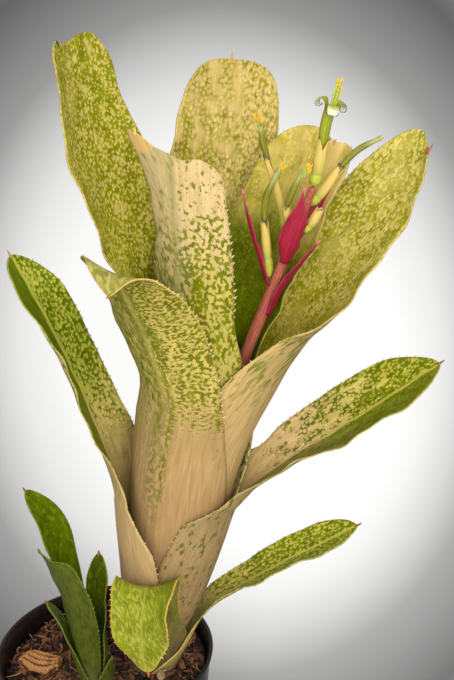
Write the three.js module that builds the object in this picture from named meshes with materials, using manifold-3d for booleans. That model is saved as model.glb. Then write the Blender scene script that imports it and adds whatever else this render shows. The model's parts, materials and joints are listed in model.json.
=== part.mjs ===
// A potted billbergia: a leaning tubular rosette with its flower spike, a young
// offset beside it, bark mix and a plain nursery pot. Millimetres, +Z up, the
// origin in the middle of the pot's underside, the viewer looking along +Y.
import * as THREE from 'three';
import { mergeVertices } from 'three/addons/utils/BufferGeometryUtils.js';
import Module from 'manifold-3d';

const wasm = await Module();
wasm.setup();

// Pot
const POT_HEIGHT = 118;
const POT_RIM_RADIUS = 65;
const POT_BASE_RADIUS = 46;
const POT_WALL = 1.8;
const POT_FLOOR = 2.6;
const LIP_HEIGHT = 5;
const LIP_STEP = 0.9;
const DRAIN_HOLES = 6;
const DRAIN_RADIUS = 5;
const DRAIN_CIRCLE_RADIUS = 33;

// Potting mix
const MIX_LEVEL = 106;
const MIX_BUMP = 1.1;
const MIX_SLOPE = 2;
const MIX_SLACK = 4;
const CLEARANCE = 0.35;
const WELL_SPARE = 0.2;
const WELL_TOP = 20;

// Bark pieces that lie on the mix: middle, turn, length, width and thickness
const BARK = [
  { name: 'bark_chunk', place: [-39, 6, 108], turn: -25, size: [25, 17, 8] },
  { name: 'bark_stick', place: [50.5, 13.5, 108], turn: 68, size: [19, 4.5, 3.5] },
];

// Rosette: where it stands in the mix and how far it leans to the right
const ROSETTE_FOOT = [26, 0, 104];
const ROSETTE_LEAN = 13;
const STEM_RADIUS = 5.5;
const STEM_BOTTOM = -34;
const STEM_TOP = 32;
const STEM_GAP = 0.4;
const LEAF_THICKNESS = 0.85;
const LAYER_PITCH = 1.6;
const MAX_SWEEP = 14;

// Leaf tips: least half width and wrap, and how far the tip flattens; ease of the keel's crease
const TIP_HALF = 0.5;
const FLAT_WRAP = 0.02;
const TIP_FLATTENING = 0.25;
const KEEL_EASE = 0.15;

// Outer radius of the leaf tube at each level above the mix, measured on the leaning axis
const TUBE = [[-30, 7], [0, 14.3], [25, 20.5], [50, 26.6], [75, 31], [100, 34.5],
  [125, 37.5], [150, 39.5], [175, 41], [200, 42.5], [225, 44]];

// Young offset
const PUP_FOOT = [-4, -26, 104];
const PUP_LEAN = -2;
const PUP_STEM_RADIUS = 2.2;
const PUP_STEM_BOTTOM = -16;
const PUP_STEM_TOP = 14;
const PUP_THICKNESS = 0.8;
const PUP_PITCH = 1.3;
const PUP_TUBE = [[-14, 3.6], [0, 8.6], [20, 10.8], [40, 12], [60, 12.6]];

// Each leaf: the way it points (degrees from the right, turning to the back), its
// layer in the tube (0 is outermost), how far its sheath wraps to each side at its
// foot and at each level above it (degrees), where needed its mouth as level slices of
// out, up, radius and wrap, the rounded length at its tip, how deeply the blade is
// keeled, and the blade as rows of out, up, side, half width, wrap and turn. Rows of a
// mouth or blade that reaches further round on its first side end in its lap, the extra
// share of wrap on that side. A tip that isn't a plain round has blunt, the power of its
// curve on each side, and end, rows of place across from -1 to 1, reach beyond the round,
// bend inwards and shift to the side.
const LEAVES = [
  {
    name: 'leaf_low_right',
    azimuth: -5,
    layer: 0,
    wraps: [150, 100, 40],
    mouth: [[27.6, 50, 27, 28]],
    tip: 24,
    keel: 0.12,
    blade: [
      [40, 64, 0, 13, 36, 2],
      [56, 80, 0, 13.5, 34, 6],
      [79, 101, 0, 14, 30, 12],
      [103, 122, 0, 10, 20, 14],
    ],
  },
  {
    name: 'leaf_front_drooping',
    azimuth: -108,
    layer: 1,
    wraps: [150, 120, 90, 46],
    tip: 30,
    keel: 0,
    blunt: [2, 2.6],
    blade: [
      [33, 71, 0, 17, 26, 4],
      [41, 85, 1, 18.5, 26, 27],
      [51, 79, 4, 18.5, 18, 28],
      [58, 62, 7, 16.5, 10, 16],
      [62, 45, 13, 10, 6, 6],
    ],
  },
  {
    name: 'leaf_left',
    azimuth: 168,
    layer: 2,
    wraps: [150, 140, 124, 106],
    mouth: [[28.5, 75, 28.5, 92], [34, 100, 34, 80], [39, 125, 38.5, 50]],
    tip: 28,
    keel: 0.1,
    blade: [
      [51, 152, 3, 23, 46, -6],
      [72, 190, 4, 20.5, 42, -12],
      [94, 227, 8.5, 19, 38, -14],
      [114, 251, 4, 13, 30, -12],
    ],
  },
  {
    name: 'leaf_right',
    azimuth: -3,
    layer: 3,
    wraps: [150, 140, 126, 116, 108, 98, 84],
    mouth: [[39, 137, 33.5, 62]],
    tip: 34,
    keel: 0.1,
    blade: [
      [46, 145, 0, 20, 42, 2],
      [63, 164, 0, 22.5, 40, 8],
      [84, 185, 0, 23, 36, 16],
      [108, 211, 0, 21, 32, 20],
      [128, 231, 2, 14, 24, 18],
    ],
  },
  {
    name: 'leaf_back',
    azimuth: 66,
    layer: 4,
    wraps: [150, 140, 126, 112, 100, 88, 72],
    mouth: [[38, 150, 36, 54]],
    tip: 40,
    keel: 0.05,
    blade: [
      [50, 180, 0, 24, 40, 0],
      [66, 212, 0, 25, 34, 0],
      [86, 240, 0, 23, 28, 0],
      [106, 260, 0, 17, 20, 0],
    ],
  },
  {
    name: 'leaf_front_left',
    azimuth: -126,
    layer: 5,
    wraps: [150, 130, 118, 106, 96, 90, 80, 66, 54],
    tip: 26,
    keel: 0,
    blunt: [1.4, 1.5],
    end: [[-1, 0, 0, 18], [1, 0, 0, 18]],
    blade: [
      [40, 230, -12, 34, 46, 0],
      [50, 254, -21, 33, 36, 0],
      [60, 271, -28, 28, 26, 0],
      [68, 278, -30, 21, 14, 0],
      [81, 274, -31, 15, 4, 0],
    ],
  },
  {
    name: 'leaf_big_right',
    azimuth: 18,
    layer: 6,
    wraps: [150, 140, 128, 118, 110, 104, 98],
    mouth: [[34.2, 175, 31.2, 94, 0.2], [42, 200, 33.5, 82, 0.44]],
    tip: 38,
    keel: 0,
    blunt: [2.4, 2.6],
    end: [[-1, -3, 0, 0], [-0.3, -2, 0, 0], [0.3, 3, 0, 0], [0.8, 6, 0, 0]],
    blade: [
      [51, 228, 0, 37, 58, 4, 0.6],
      [63, 260, 0, 36, 44, 12, 0.4],
      [77, 291, -2, 29, 34, 18, 0.1],
      [91, 321, -3, 23, 28, 18],
      [104, 347, -1, 17, 20, 14],
    ],
  },
  {
    name: 'leaf_tall_left',
    azimuth: 150,
    layer: 7,
    wraps: [150, 134, 124, 114, 106, 98, 90, 82, 70],
    tip: 28,
    keel: 0,
    blunt: [3, 6],
    end: [
      [-1, 0, 0, 0],
      [-0.55, 4, 0, 0],
      [-0.2, 3, 0, 0],
      [0.2, -2, -1, 0],
      [0.65, -2, 0, 0],
      [0.9, 2, 2, 0],
    ],
    blade: [
      [47, 245, 0, 31, 48, -3],
      [62, 270, 2, 31, 40, -8],
      [79, 303, 4, 31, 34, -10],
      [95, 334, 3.5, 25.5, 28, -10],
      [110, 364, -3.5, 21.5, 20, -8],
    ],
  },
  {
    name: 'leaf_tall_back',
    azimuth: 97,
    layer: 8,
    wraps: [150, 134, 124, 114, 104, 96, 88, 78, 66],
    tip: 28,
    keel: 0,
    blunt: [3.6, 3.6],
    blade: [
      [40, 246, -1, 34, 48, 0],
      [53, 270, -2, 34, 40, 0],
      [66, 302, -4, 33, 34, 0],
      [75, 332, -5.5, 28.5, 28, 0],
      [80.5, 358, -4.5, 23.5, 20, 0],
    ],
  },
  {
    name: 'leaf_centre_left',
    azimuth: -115,
    layer: 9,
    wraps: [150, 134, 124, 114, 104, 94, 84, 74, 62],
    tip: 17,
    keel: 0,
    blunt: [7, 3],
    end: [
      [-0.9, 19, -4, -13],
      [-0.7, 16, -4, -10],
      [-0.4, 6, -2, -2],
      [0, 2, 0, 0],
      [0.4, 3, 0, 0],
      [1, 0, 0, 0],
    ],
    blade: [
      [28, 246, -4, 26, 52, 0],
      [25, 275, -10, 25, 46, 0],
      [23, 301, -17, 23, 40, 0],
      [21, 330, -24, 22, 30, 0],
    ],
  },
  {
    name: 'leaf_back_right',
    azimuth: 49,
    layer: 10,
    wraps: [150, 134, 122, 112, 102, 94, 86, 72, 62],
    tip: 32,
    keel: 0,
    blunt: [4.5, 2.6],
    end: [
      [-0.85, 7, 2, -3],
      [-0.6, 3, 0, -1],
      [-0.3, -1, 0, 0],
      [0.1, 2, 0, 0],
      [1, 0, 0, 0],
    ],
    blade: [
      [35, 243, 0, 31.5, 58, 0],
      [43, 264, -1, 32.5, 52, 0],
      [53, 296, -4, 30, 44, 0],
      [60.5, 338, -8.5, 25.5, 32, 0],
    ],
  },
];

const PUP_LEAVES = [
  {
    name: 'pup_leaf_base',
    azimuth: -35,
    layer: 0,
    wraps: [140, 100],
    tip: 14,
    keel: 0,
    blade: [
      [12, 20, 0, 9, 42, 0],
      [15, 34, 0, 6, 30, 0],
    ],
  },
  {
    name: 'pup_leaf_low_left',
    azimuth: 180,
    layer: 1,
    wraps: [140, 120, 70],
    tip: 16,
    keel: 0,
    blade: [
      [12.5, 42, 0, 8, 38, 0],
      [15.5, 56, 0, 7.5, 30, 0],
      [21, 72, 0, 4, 20, 0],
    ],
  },
  {
    name: 'pup_leaf_right',
    azimuth: 12,
    layer: 2,
    wraps: [140, 106, 60],
    tip: 20,
    keel: 0,
    blade: [
      [10.4, 42, 0, 8, 44, 0],
      [9.5, 70, 0, 8, 36, 40],
      [14, 100, 0, 6, 24, 55],
    ],
  },
  {
    name: 'pup_leaf_front',
    azimuth: -125,
    layer: 3,
    wraps: [140, 108, 74],
    tip: 30,
    keel: 0,
    blade: [
      [9.5, 44, 0, 12, 54, 0],
      [12, 76, 1, 12.5, 42, 0],
      [16, 109, -4, 10, 26, 0],
    ],
  },
  {
    name: 'pup_leaf_tall',
    azimuth: 150,
    layer: 4,
    wraps: [140, 100],
    tip: 40,
    keel: 0,
    blade: [
      [8, 44, -2, 9, 46, 0],
      [13, 84, -4, 11, 40, -4],
      [17, 118, -3, 12, 30, -6],
      [26, 141, 1, 8, 20, -6],
    ],
  },
];

// Dry scrap of leaf that stands, curled, on the mix in front of the rosette
const DRY_SCRAP = {
  name: 'dry_scrap',
  foot: [34, -19.5, 107.3],
  azimuth: -60,
  tip: 4,
  blade: [
    [0, 0, 0, 3.4, 80, 0],
    [0.8, 4, 0, 4, 86, 0],
    [2.6, 8, 0, 3.6, 80, 0],
    [5, 11, 0, 2.6, 60, 0],
  ],
};

// Flower spike: points are right, back and up in the rosette's own frame
const SCALE_THICKNESS = 0.6;
const SCAPE = [[1, 0, 33], [6, -1, 90], [12, -2, 150], [20, -1, 210], [27, 0, 250], [33, 0, 282],
  [38, 0, 312], [40, 0, 324]];
const SCAPE_RADII = [3.3, 3.3, 3.3, 3.3, 3.3, 2.8, 2.3, 1.8];

// Each bract: foot on the stalk, way it points, lean, and rows of out, up, side, half width and wrap
const BRACTS = [
  {
    name: 'bract_low_right',
    foot: [27, 0, 247],
    azimuth: -40,
    tip: 22,
    blunt: [1.3, 1.3],
    blade: [
      [4.5, 0, 0, 3, 56, 0],
      [9, 17, 0, 4.6, 50, 0],
      [17, 35, 0, 4.4, 44, 0],
      [25, 53, 0, 2.4, 30, 0],
    ],
  },
  {
    name: 'bract_left',
    foot: [28.5, 0, 264],
    azimuth: 190,
    tip: 22,
    blunt: [1.3, 1.3],
    blade: [
      [3.6, 0, 0, 3, 60, 0],
      [10, 14, 0, 4.8, 50, 0],
      [19, 34, 0, 4.4, 44, 0],
      [26, 54, 0, 2.4, 30, 0],
    ],
  },
  {
    name: 'bract_centre',
    foot: [32.5, 0, 279],
    azimuth: -90,
    tip: 27,
    blunt: [1.2, 1.2],
    blade: [
      [4.2, 0, 0, 3.6, 76, 0],
      [8, 12, 0, 7, 62, 0],
      [12, 29, 1, 6.8, 50, 0],
      [16, 49, 0.5, 1.8, 30, 0],
    ],
  },
  {
    name: 'bract_back',
    foot: [35, 0, 291],
    azimuth: 34,
    tip: 16,
    blunt: [1.3, 1.3],
    blade: [
      [3.6, 0, 0, 3.4, 60, 0],
      [8, 9, 0, 5, 50, 0],
      [14, 19, 0, 4, 40, 0],
      [20, 30, 0, 2.2, 30, 0],
    ],
  },
];

// Each flower: a calyx (ovary and sepals) and a corolla, as points and radii along them
const FLOWERS = [
  {
    name: 'flower_left',
    calyx: [[33, 5, 287], [26, 6, 308], [15, 7, 331]],
    calyxRadii: [1.6, 3, 2],
    corolla: [[14.6, 7, 332], [10, 7, 343], [7.5, 7, 351]],
    corollaRadii: [1.7, 1.6, 1.2],
  },
  {
    name: 'flower_low_left',
    calyx: [[25.8, -0.4, 268.5], [22, -1, 284], [18, -2, 300]],
    calyxRadii: [1.3, 3.1, 2.5],
    corolla: [[17.8, -2, 301], [16.5, -2, 315], [20, -2, 331]],
    corollaRadii: [2, 2, 1.4],
  },
  {
    name: 'flower_centre_left',
    calyx: [[32.5, -2.6, 297.6], [29.5, -4.5, 306], [27.5, -5, 312]],
    calyxRadii: [1.3, 2.6, 2.1],
    corolla: [[27.3, -5, 313], [29, -5, 322], [32, -5, 333]],
    corollaRadii: [2, 1.9, 1.3],
  },
  {
    name: 'flower_open',
    calyx: [[40.1, 0, 324.6], [40.5, 0, 334], [40.5, 0, 350]],
    calyxRadii: [2.2, 4.2, 3.2],
    corolla: [[40.5, 0, 351], [40, 0, 362], [41, 0, 371]],
    corollaRadii: [2.8, 3.4, 3],
    stamens: [[41, 0, 371.5], [41.5, 0, 378], [42, 0, 385]],
    stamenRadii: [1.6, 1.4, 2],
  },
  {
    name: 'flower_right',
    calyx: [[40.5, 3.5, 312], [45.5, 4, 319], [52, 4, 334]],
    calyxRadii: [1.6, 3.4, 2.4],
    corolla: [[52.6, 4, 335], [60, 4, 346], [70, 4, 354]],
    corollaRadii: [2, 1.9, 1.2],
  },
  {
    name: 'flower_bud',
    calyx: [[38.5, -4.5, 300], [42, -6, 306], [45, -7, 315]],
    calyxRadii: [1.6, 3, 1.5],
  },
];

const COLOURS = {
  pot: { color: 0x1b1a1a, roughness: 0.45, metalness: 0 },
  mix: { color: 0x3a2618, roughness: 0.95, metalness: 0 },
  bark: { color: 0x8a6244, roughness: 0.9, metalness: 0 },
  leaf: { color: 0x9fae4a, roughness: 0.5, metalness: 0 },
  sheath: { color: 0xcdb083, roughness: 0.5, metalness: 0 },
  pup: { color: 0x4f7a22, roughness: 0.5, metalness: 0 },
  stalk: { color: 0xb05a52, roughness: 0.5, metalness: 0 },
  bract: { color: 0xb01e50, roughness: 0.4, metalness: 0 },
  calyx: { color: 0xd8c98c, roughness: 0.5, metalness: 0 },
  petal: { color: 0x7a8030, roughness: 0.5, metalness: 0 },
  anther: { color: 0xe0922a, roughness: 0.7, metalness: 0 },
};

const degrees = THREE.MathUtils.degToRad;
const lerp = THREE.MathUtils.lerp;

// Radius of a tube profile at a level, straight between its points
function profileRadius(profile, level) {
  let i = 0;
  while (i < profile.length - 2 && level > profile[i + 1][0]) i += 1;
  const [z0, r0] = profile[i];
  const [z1, r1] = profile[i + 1];
  return lerp(r0, r1, (level - z0) / (z1 - z0));
}

// Level at which a tube profile reaches a radius
function profileLevel(profile, radius) {
  let i = 0;
  while (i < profile.length - 2 && radius > profile[i + 1][1]) i += 1;
  const [z0, r0] = profile[i];
  const [z1, r1] = profile[i + 1];
  return lerp(z0, z1, (radius - r0) / (r1 - r0));
}

// Closed mesh from two grids of points, the outer face and the inner one behind it
function shellGeometry(outer, inner) {
  const rows = outer.length;
  const columns = outer[0].length;
  const positions = [];
  for (const grid of [outer, inner]) {
    for (const row of grid) {
      for (const point of row) positions.push(point.x, point.y, point.z);
    }
  }
  const at = (side, i, j) => side * rows * columns + i * columns + j;
  const index = [];
  const quad = (a, b, c, d) => index.push(a, b, c, a, c, d);
  for (let i = 0; i < rows - 1; i += 1) {
    for (let j = 0; j < columns - 1; j += 1) {
      quad(at(0, i, j), at(0, i, j + 1), at(0, i + 1, j + 1), at(0, i + 1, j));
      quad(at(1, i, j), at(1, i + 1, j), at(1, i + 1, j + 1), at(1, i, j + 1));
    }
    quad(at(0, i, 0), at(0, i + 1, 0), at(1, i + 1, 0), at(1, i, 0));
    const last = columns - 1;
    quad(at(0, i, last), at(1, i, last), at(1, i + 1, last), at(0, i + 1, last));
  }
  for (let j = 0; j < columns - 1; j += 1) {
    const end = rows - 1;
    quad(at(0, 0, j), at(1, 0, j), at(1, 0, j + 1), at(0, 0, j + 1));
    quad(at(0, end, j), at(0, end, j + 1), at(1, end, j + 1), at(1, end, j));
  }
  const geometry = new THREE.BufferGeometry();
  geometry.setAttribute('position', new THREE.Float32BufferAttribute(positions, 3));
  geometry.setIndex(index);
  return geometry;
}

// Midrib of a leaf, and its half width, wrap, turn and lap along it, through its stations
function leafCurves(stations, outward, sideways) {
  const points = stations.map(([out, up, side]) => new THREE.Vector3(0, 0, up)
    .addScaledVector(outward, out)
    .addScaledVector(sideways, side));
  const forms = stations.map((station) => new THREE.Vector3(
    station[3],
    degrees(station[4]),
    degrees(station[5]),
  ));
  const laps = stations.map((station) => new THREE.Vector3(station[6] ?? 0, 0, 0));
  return {
    midrib: new THREE.CatmullRomCurve3(points, false, 'catmullrom', 0.5),
    form: new THREE.CatmullRomCurve3(forms, false, 'catmullrom', 0.5),
    lap: new THREE.CatmullRomCurve3(laps, false, 'catmullrom', 0.5),
  };
}

// Leaf with a sheath that follows the tube and a blade that leaves it. Sheath rows are
// exact slices of the tube, so that nested sheaths never touch; the blade's rows stand
// square to its midrib.
function leafGeometry(leaf, whorl, columns = 12, bladeRows = 6, tipRows = 4) {
  const azimuth = degrees(leaf.azimuth);
  const outward = new THREE.Vector3(Math.cos(azimuth), Math.sin(azimuth), 0);
  const sideways = new THREE.Vector3(-Math.sin(azimuth), Math.cos(azimuth), 0);
  const sheathRows = sheathStations(leaf, whorl);
  const stations = [...sheathRows, ...leaf.blade];
  const { midrib, form, lap } = leafCurves(stations, outward, sideways);
  const spans = stations.length - 1;
  const leave = Math.max(sheathRows.length - 1, 0);
  const length = midrib.getLength();
  const leaveLength = bladeStart(midrib, leave / spans);
  const tipStart = length - leaf.tip;
  const blunt = leaf.blunt ?? [2, 2];
  const outer = [];
  const inner = [];

  // Adds one arched row: t is its place along the midrib, share how far it is into the tip
  const addRow = (t, share) => {
    const narrowing = blunt.map((power) => (1 - share ** power) ** (1 / power));
    const evenly = (narrowing[0] + narrowing[1]) / 2;
    const point = midrib.getPoint(t);
    const tangent = midrib.getTangent(t);
    const shape = form.getPoint(t);
    const freed = THREE.MathUtils.clamp(t * spans - leave, 0, 1);
    const across = sideways.clone().addScaledVector(tangent, -sideways.dot(tangent)).normalize();
    const inward = tangent.clone().cross(across);
    across.applyAxisAngle(tangent, shape.z);
    inward.applyAxisAngle(tangent, shape.z);
    across.lerp(sideways, 1 - freed).normalize();
    inward.lerp(outward.clone().negate(), 1 - freed).normalize();
    const wrap = Math.max(shape.y, FLAT_WRAP) * Math.max(evenly, TIP_FLATTENING);
    const extra = lap.getPoint(t).x;
    const outerRow = [];
    const innerRow = [];
    for (let j = 0; j <= columns; j += 1) {
      const u = 2 * j / columns - 1;
      const side = narrowing[u < 0 ? 0 : 1];
      const half = Math.max(shape.x * side, TIP_HALF);
      const radius = half / wrap;
      const angle = u * wrap * (u < 0 ? 1 + extra : 1);
      const fold = leaf.keel * half * freed * (Math.hypot(u, KEEL_EASE) - KEEL_EASE);
      const [reach, bend, aside] = endShape(leaf, u * side).map((move) => move * share ** 2);
      const place = point.clone()
        .addScaledVector(across, radius * Math.sin(angle))
        .addScaledVector(inward, radius * (1 - Math.cos(angle)) + fold);
      const facing = inward.clone().multiplyScalar(Math.cos(angle))
        .addScaledVector(across, -Math.sin(angle));
      place.addScaledVector(tangent, reach)
        .addScaledVector(facing, bend)
        .addScaledVector(across, aside);
      outerRow.push(place);
      innerRow.push(place.clone().addScaledVector(facing, whorl.thickness));
    }
    outer.push(outerRow);
    inner.push(innerRow);
  };

  for (let i = 0; i < sheathRows.length; i += 1) addRow(i / spans, 0);
  const firstBladeRow = sheathRows.length > 0 ? 1 : 0;
  for (let i = firstBladeRow; i <= bladeRows; i += 1) {
    const travelled = lerp(leaveLength, tipStart, i / bladeRows);
    addRow(midrib.getUtoTmapping(travelled / length), 0);
  }
  for (let i = 1; i <= tipRows; i += 1) {
    const share = Math.sin((i / tipRows) * Math.PI / 2) ** (2 / Math.max(...blunt));
    const travelled = tipStart + leaf.tip * share;
    addRow(midrib.getUtoTmapping(Math.min(travelled / length, 1)), share);
  }
  return shellGeometry(outer, inner);
}

// Reach, bend and shift of a leaf's end at a place across it, eased between its rows
function endShape(leaf, place) {
  const rows = leaf.end ?? [];
  if (rows.length === 0) return [0, 0, 0];
  const last = rows.length - 1;
  const index = rows.findIndex(([at]) => at > place);
  const after = index < 0 ? last : Math.max(index, 1);
  const [low, high] = [rows[after - 1], rows[after]];
  const step = THREE.MathUtils.smoothstep(place, low[0], high[0]);
  return [1, 2, 3].map((n) => lerp(low[n], high[n], step));
}

// Length of a curve from its start to parameter t
function bladeStart(curve, t) {
  const steps = 200;
  return curve.getLengths(steps)[Math.round(t * steps)];
}

// Sheath rows of a leaf: its foot on the stem, one at each level of the tube, then its
// mouth. Where the margin sweeps round quickly, slices go in between, so that the flat
// faces stay close to the round tube.
function sheathStations(leaf, whorl) {
  if (!leaf.wraps) return [];
  const inset = leaf.layer * whorl.pitch;
  const footRadius = whorl.stemRadius + STEM_GAP + whorl.thickness + inset;
  const foot = profileLevel(whorl.tube, footRadius);
  const levels = [foot, ...whorl.tube.map(([level]) => level).filter((level) => level > foot + 2)];
  const slices = leaf.wraps.map((wrap, i) => {
    const out = profileRadius(whorl.tube, levels[i]) - inset;
    return [out, levels[i], out, wrap, 0];
  });
  for (const [out, up, radius, wrap, lap = 0] of leaf.mouth ?? []) {
    slices.push([out, up, radius, wrap, lap]);
  }
  const stations = [];
  slices.forEach((slice, i) => {
    const next = slices[i + 1] ?? slice;
    const parts = Math.max(Math.ceil(Math.abs(next[3] - slice[3]) / MAX_SWEEP), 1);
    for (let k = 0; k < (i < slices.length - 1 ? parts : 1); k += 1) {
      const [o, u, r, w, lap] = slice.map((value, n) => lerp(value, next[n], k / parts));
      stations.push([o, u, 0, r * degrees(w), w, 0, lap]);
    }
  });
  return stations;
}

// Closed rod with a round section that swells and narrows along a smooth path
function rodGeometry(path, radii, sides = 6, steps = 6) {
  const curve = new THREE.CatmullRomCurve3(path.map((p) => new THREE.Vector3(...p)));
  const positions = [];
  const index = [];
  for (let i = 0; i <= steps; i += 1) {
    const t = i / steps;
    const centre = curve.getPoint(t);
    const tangent = curve.getTangent(t);
    const across = new THREE.Vector3(0, 1, 0).cross(tangent).normalize();
    const upward = tangent.clone().cross(across);
    const scaled = t * (radii.length - 1);
    const k = Math.min(Math.floor(scaled), radii.length - 2);
    const radius = lerp(radii[k], radii[k + 1], scaled - k);
    for (let j = 0; j < sides; j += 1) {
      const angle = 2 * Math.PI * j / sides;
      const place = centre.clone()
        .addScaledVector(across, radius * Math.cos(angle))
        .addScaledVector(upward, radius * Math.sin(angle));
      positions.push(place.x, place.y, place.z);
    }
  }
  for (let i = 0; i < steps; i += 1) {
    for (let j = 0; j < sides; j += 1) {
      const a = i * sides + j;
      const b = i * sides + (j + 1) % sides;
      index.push(a, b, b + sides, a, b + sides, a + sides);
    }
  }
  for (let j = 1; j < sides - 1; j += 1) {
    index.push(0, j + 1, j);
    const end = steps * sides;
    index.push(end, end + j, end + j + 1);
  }
  const geometry = new THREE.BufferGeometry();
  geometry.setAttribute('position', new THREE.Float32BufferAttribute(positions, 3));
  geometry.setIndex(index);
  return geometry;
}

// Geometry as a solid for joining and cutting, and back
function toSolid(geometry) {
  const bare = geometry.clone();
  bare.deleteAttribute('normal');
  bare.deleteAttribute('uv');
  const merged = mergeVertices(bare, 1e-4);
  return new wasm.Manifold(new wasm.Mesh({
    numProp: 3,
    vertProperties: new Float32Array(merged.attributes.position.array),
    triVerts: new Uint32Array(merged.index.array),
  }));
}

function fromSolid(solid) {
  const mesh = solid.getMesh();
  const geometry = new THREE.BufferGeometry();
  geometry.setAttribute('position', new THREE.Float32BufferAttribute(mesh.vertProperties, 3));
  geometry.setIndex(Array.from(mesh.triVerts));
  return geometry;
}

// Lathe about the Z axis from points of radius and height
function turned(outline, segments) {
  const profile = outline.map(([radius, height]) => new THREE.Vector2(radius, height));
  return new THREE.LatheGeometry(profile, segments).rotateX(Math.PI / 2);
}

function meshOf(name, geometry, look) {
  const mesh = new THREE.Mesh(geometry, new THREE.MeshStandardMaterial(COLOURS[look]));
  mesh.name = name;
  return mesh;
}

// Radius of the pot's outer wall, below its lip, at a height
function potRadius(height) {
  return lerp(POT_BASE_RADIUS, POT_RIM_RADIUS - LIP_STEP, height / POT_HEIGHT);
}

function nurseryPot() {
  const lipBottom = POT_HEIGHT - LIP_HEIGHT;
  const shell = toSolid(turned([
    [0, 0],
    [POT_BASE_RADIUS, 0],
    [potRadius(lipBottom), lipBottom],
    [potRadius(lipBottom) + LIP_STEP, lipBottom + LIP_STEP],
    [POT_RIM_RADIUS, POT_HEIGHT - LIP_STEP],
    [POT_RIM_RADIUS - LIP_STEP, POT_HEIGHT],
    [POT_RIM_RADIUS - 2 * LIP_STEP, POT_HEIGHT],
    [potRadius(lipBottom) - POT_WALL, lipBottom],
    [potRadius(POT_FLOOR) - POT_WALL, POT_FLOOR],
    [0, POT_FLOOR],
  ], 48));
  let pot = shell;
  for (let i = 0; i < DRAIN_HOLES; i += 1) {
    const angle = 2 * Math.PI * (i + 0.5) / DRAIN_HOLES;
    const hole = new THREE.CylinderGeometry(DRAIN_RADIUS, DRAIN_RADIUS, 4 * POT_FLOOR, 16);
    hole.rotateX(Math.PI / 2);
    hole.translate(DRAIN_CIRCLE_RADIUS * Math.cos(angle), DRAIN_CIRCLE_RADIUS * Math.sin(angle), 0);
    pot = pot.subtract(toSolid(hole));
  }
  return meshOf('nursery_pot', fromSolid(pot), 'pot');
}

// Height of the mix's surface, with low mounds and dips
function mixHeight(x, y) {
  const mounds = Math.sin(x / 9 + 1.2) * Math.cos(y / 11)
    + 0.6 * Math.sin((x + y) / 6.5)
    + 0.4 * Math.cos((x - 2 * y) / 8);
  return MIX_LEVEL + MIX_BUMP * mounds + MIX_SLOPE * (x + y) / POT_RIM_RADIUS;
}

// Space that a rosette's foot takes in the mix
function well(whorl) {
  const swell = CLEARANCE + WELL_SPARE;
  const outline = whorl.tube.filter(([level]) => level < WELL_TOP)
    .map(([level, radius]) => [radius + swell, level]);
  const topRadius = profileRadius(whorl.tube, WELL_TOP) + swell;
  const bottom = whorl.stemBottom - CLEARANCE;
  const space = turned([
    [0, bottom],
    [outline[0][0], bottom],
    ...outline,
    [topRadius, WELL_TOP],
    [0, WELL_TOP],
  ], 36);
  return toSolid(space.applyMatrix4(whorl.group.matrixWorld));
}

// Piece of bark: a slab with broken ends
function barkGeometry(bark, swell = 0) {
  const [length, width, thickness] = bark.size.map((side) => side + 2 * swell);
  const outline = [[-0.5, -0.3], [-0.38, -0.5], [0.34, -0.44], [0.5, -0.16], [0.44, 0.36],
    [0.12, 0.5], [-0.42, 0.4]];
  const shape = new THREE.Shape(outline.map(([x, y]) => new THREE.Vector2(x * length, y * width)));
  const slab = new THREE.ExtrudeGeometry(shape, { depth: thickness, bevelEnabled: false });
  slab.translate(0, 0, -thickness / 2);
  slab.rotateZ(degrees(bark.turn));
  slab.translate(...bark.place);
  return slab;
}

function pottingMix(whorls) {
  const sides = 36;
  const rings = 5;
  const positions = [];
  const index = [];
  const rimRadius = potRadius(MIX_LEVEL - MIX_SLACK) - POT_WALL - CLEARANCE;
  const floorRadius = potRadius(POT_FLOOR) - POT_WALL - CLEARANCE;
  positions.push(0, 0, mixHeight(0, 0));
  for (let i = 1; i <= rings; i += 1) {
    for (let j = 0; j < sides; j += 1) {
      const angle = 2 * Math.PI * j / sides;
      const x = rimRadius * (i / rings) * Math.cos(angle);
      const y = rimRadius * (i / rings) * Math.sin(angle);
      positions.push(x, y, mixHeight(x, y));
    }
  }
  for (let j = 0; j < sides; j += 1) {
    const angle = 2 * Math.PI * j / sides;
    positions.push(floorRadius * Math.cos(angle), floorRadius * Math.sin(angle), POT_FLOOR + CLEARANCE);
  }
  positions.push(0, 0, POT_FLOOR + CLEARANCE);
  const at = (i, j) => 1 + (i - 1) * sides + (j % sides);
  const underside = 1 + (rings + 1) * sides;
  for (let j = 0; j < sides; j += 1) {
    index.push(0, at(1, j), at(1, j + 1));
    for (let i = 1; i <= rings; i += 1) {
      index.push(at(i, j), at(i + 1, j), at(i + 1, j + 1), at(i, j), at(i + 1, j + 1), at(i, j + 1));
    }
    index.push(underside, at(rings + 1, j + 1), at(rings + 1, j));
  }
  const geometry = new THREE.BufferGeometry();
  geometry.setAttribute('position', new THREE.Float32BufferAttribute(positions, 3));
  geometry.setIndex(index);
  let mix = toSolid(geometry);
  for (const whorl of whorls) mix = mix.subtract(well(whorl));
  for (const bark of BARK) mix = mix.subtract(toSolid(barkGeometry(bark, CLEARANCE)));
  return meshOf('potting_mix', fromSolid(mix), 'mix');
}

// Rosette: its stem and leaves, in a group that stands in the mix and leans
function whorlGroup(foot, lean) {
  const group = new THREE.Group();
  group.position.set(...foot);
  group.rotation.y = degrees(lean);
  group.updateMatrixWorld(true);
  return group;
}

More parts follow.
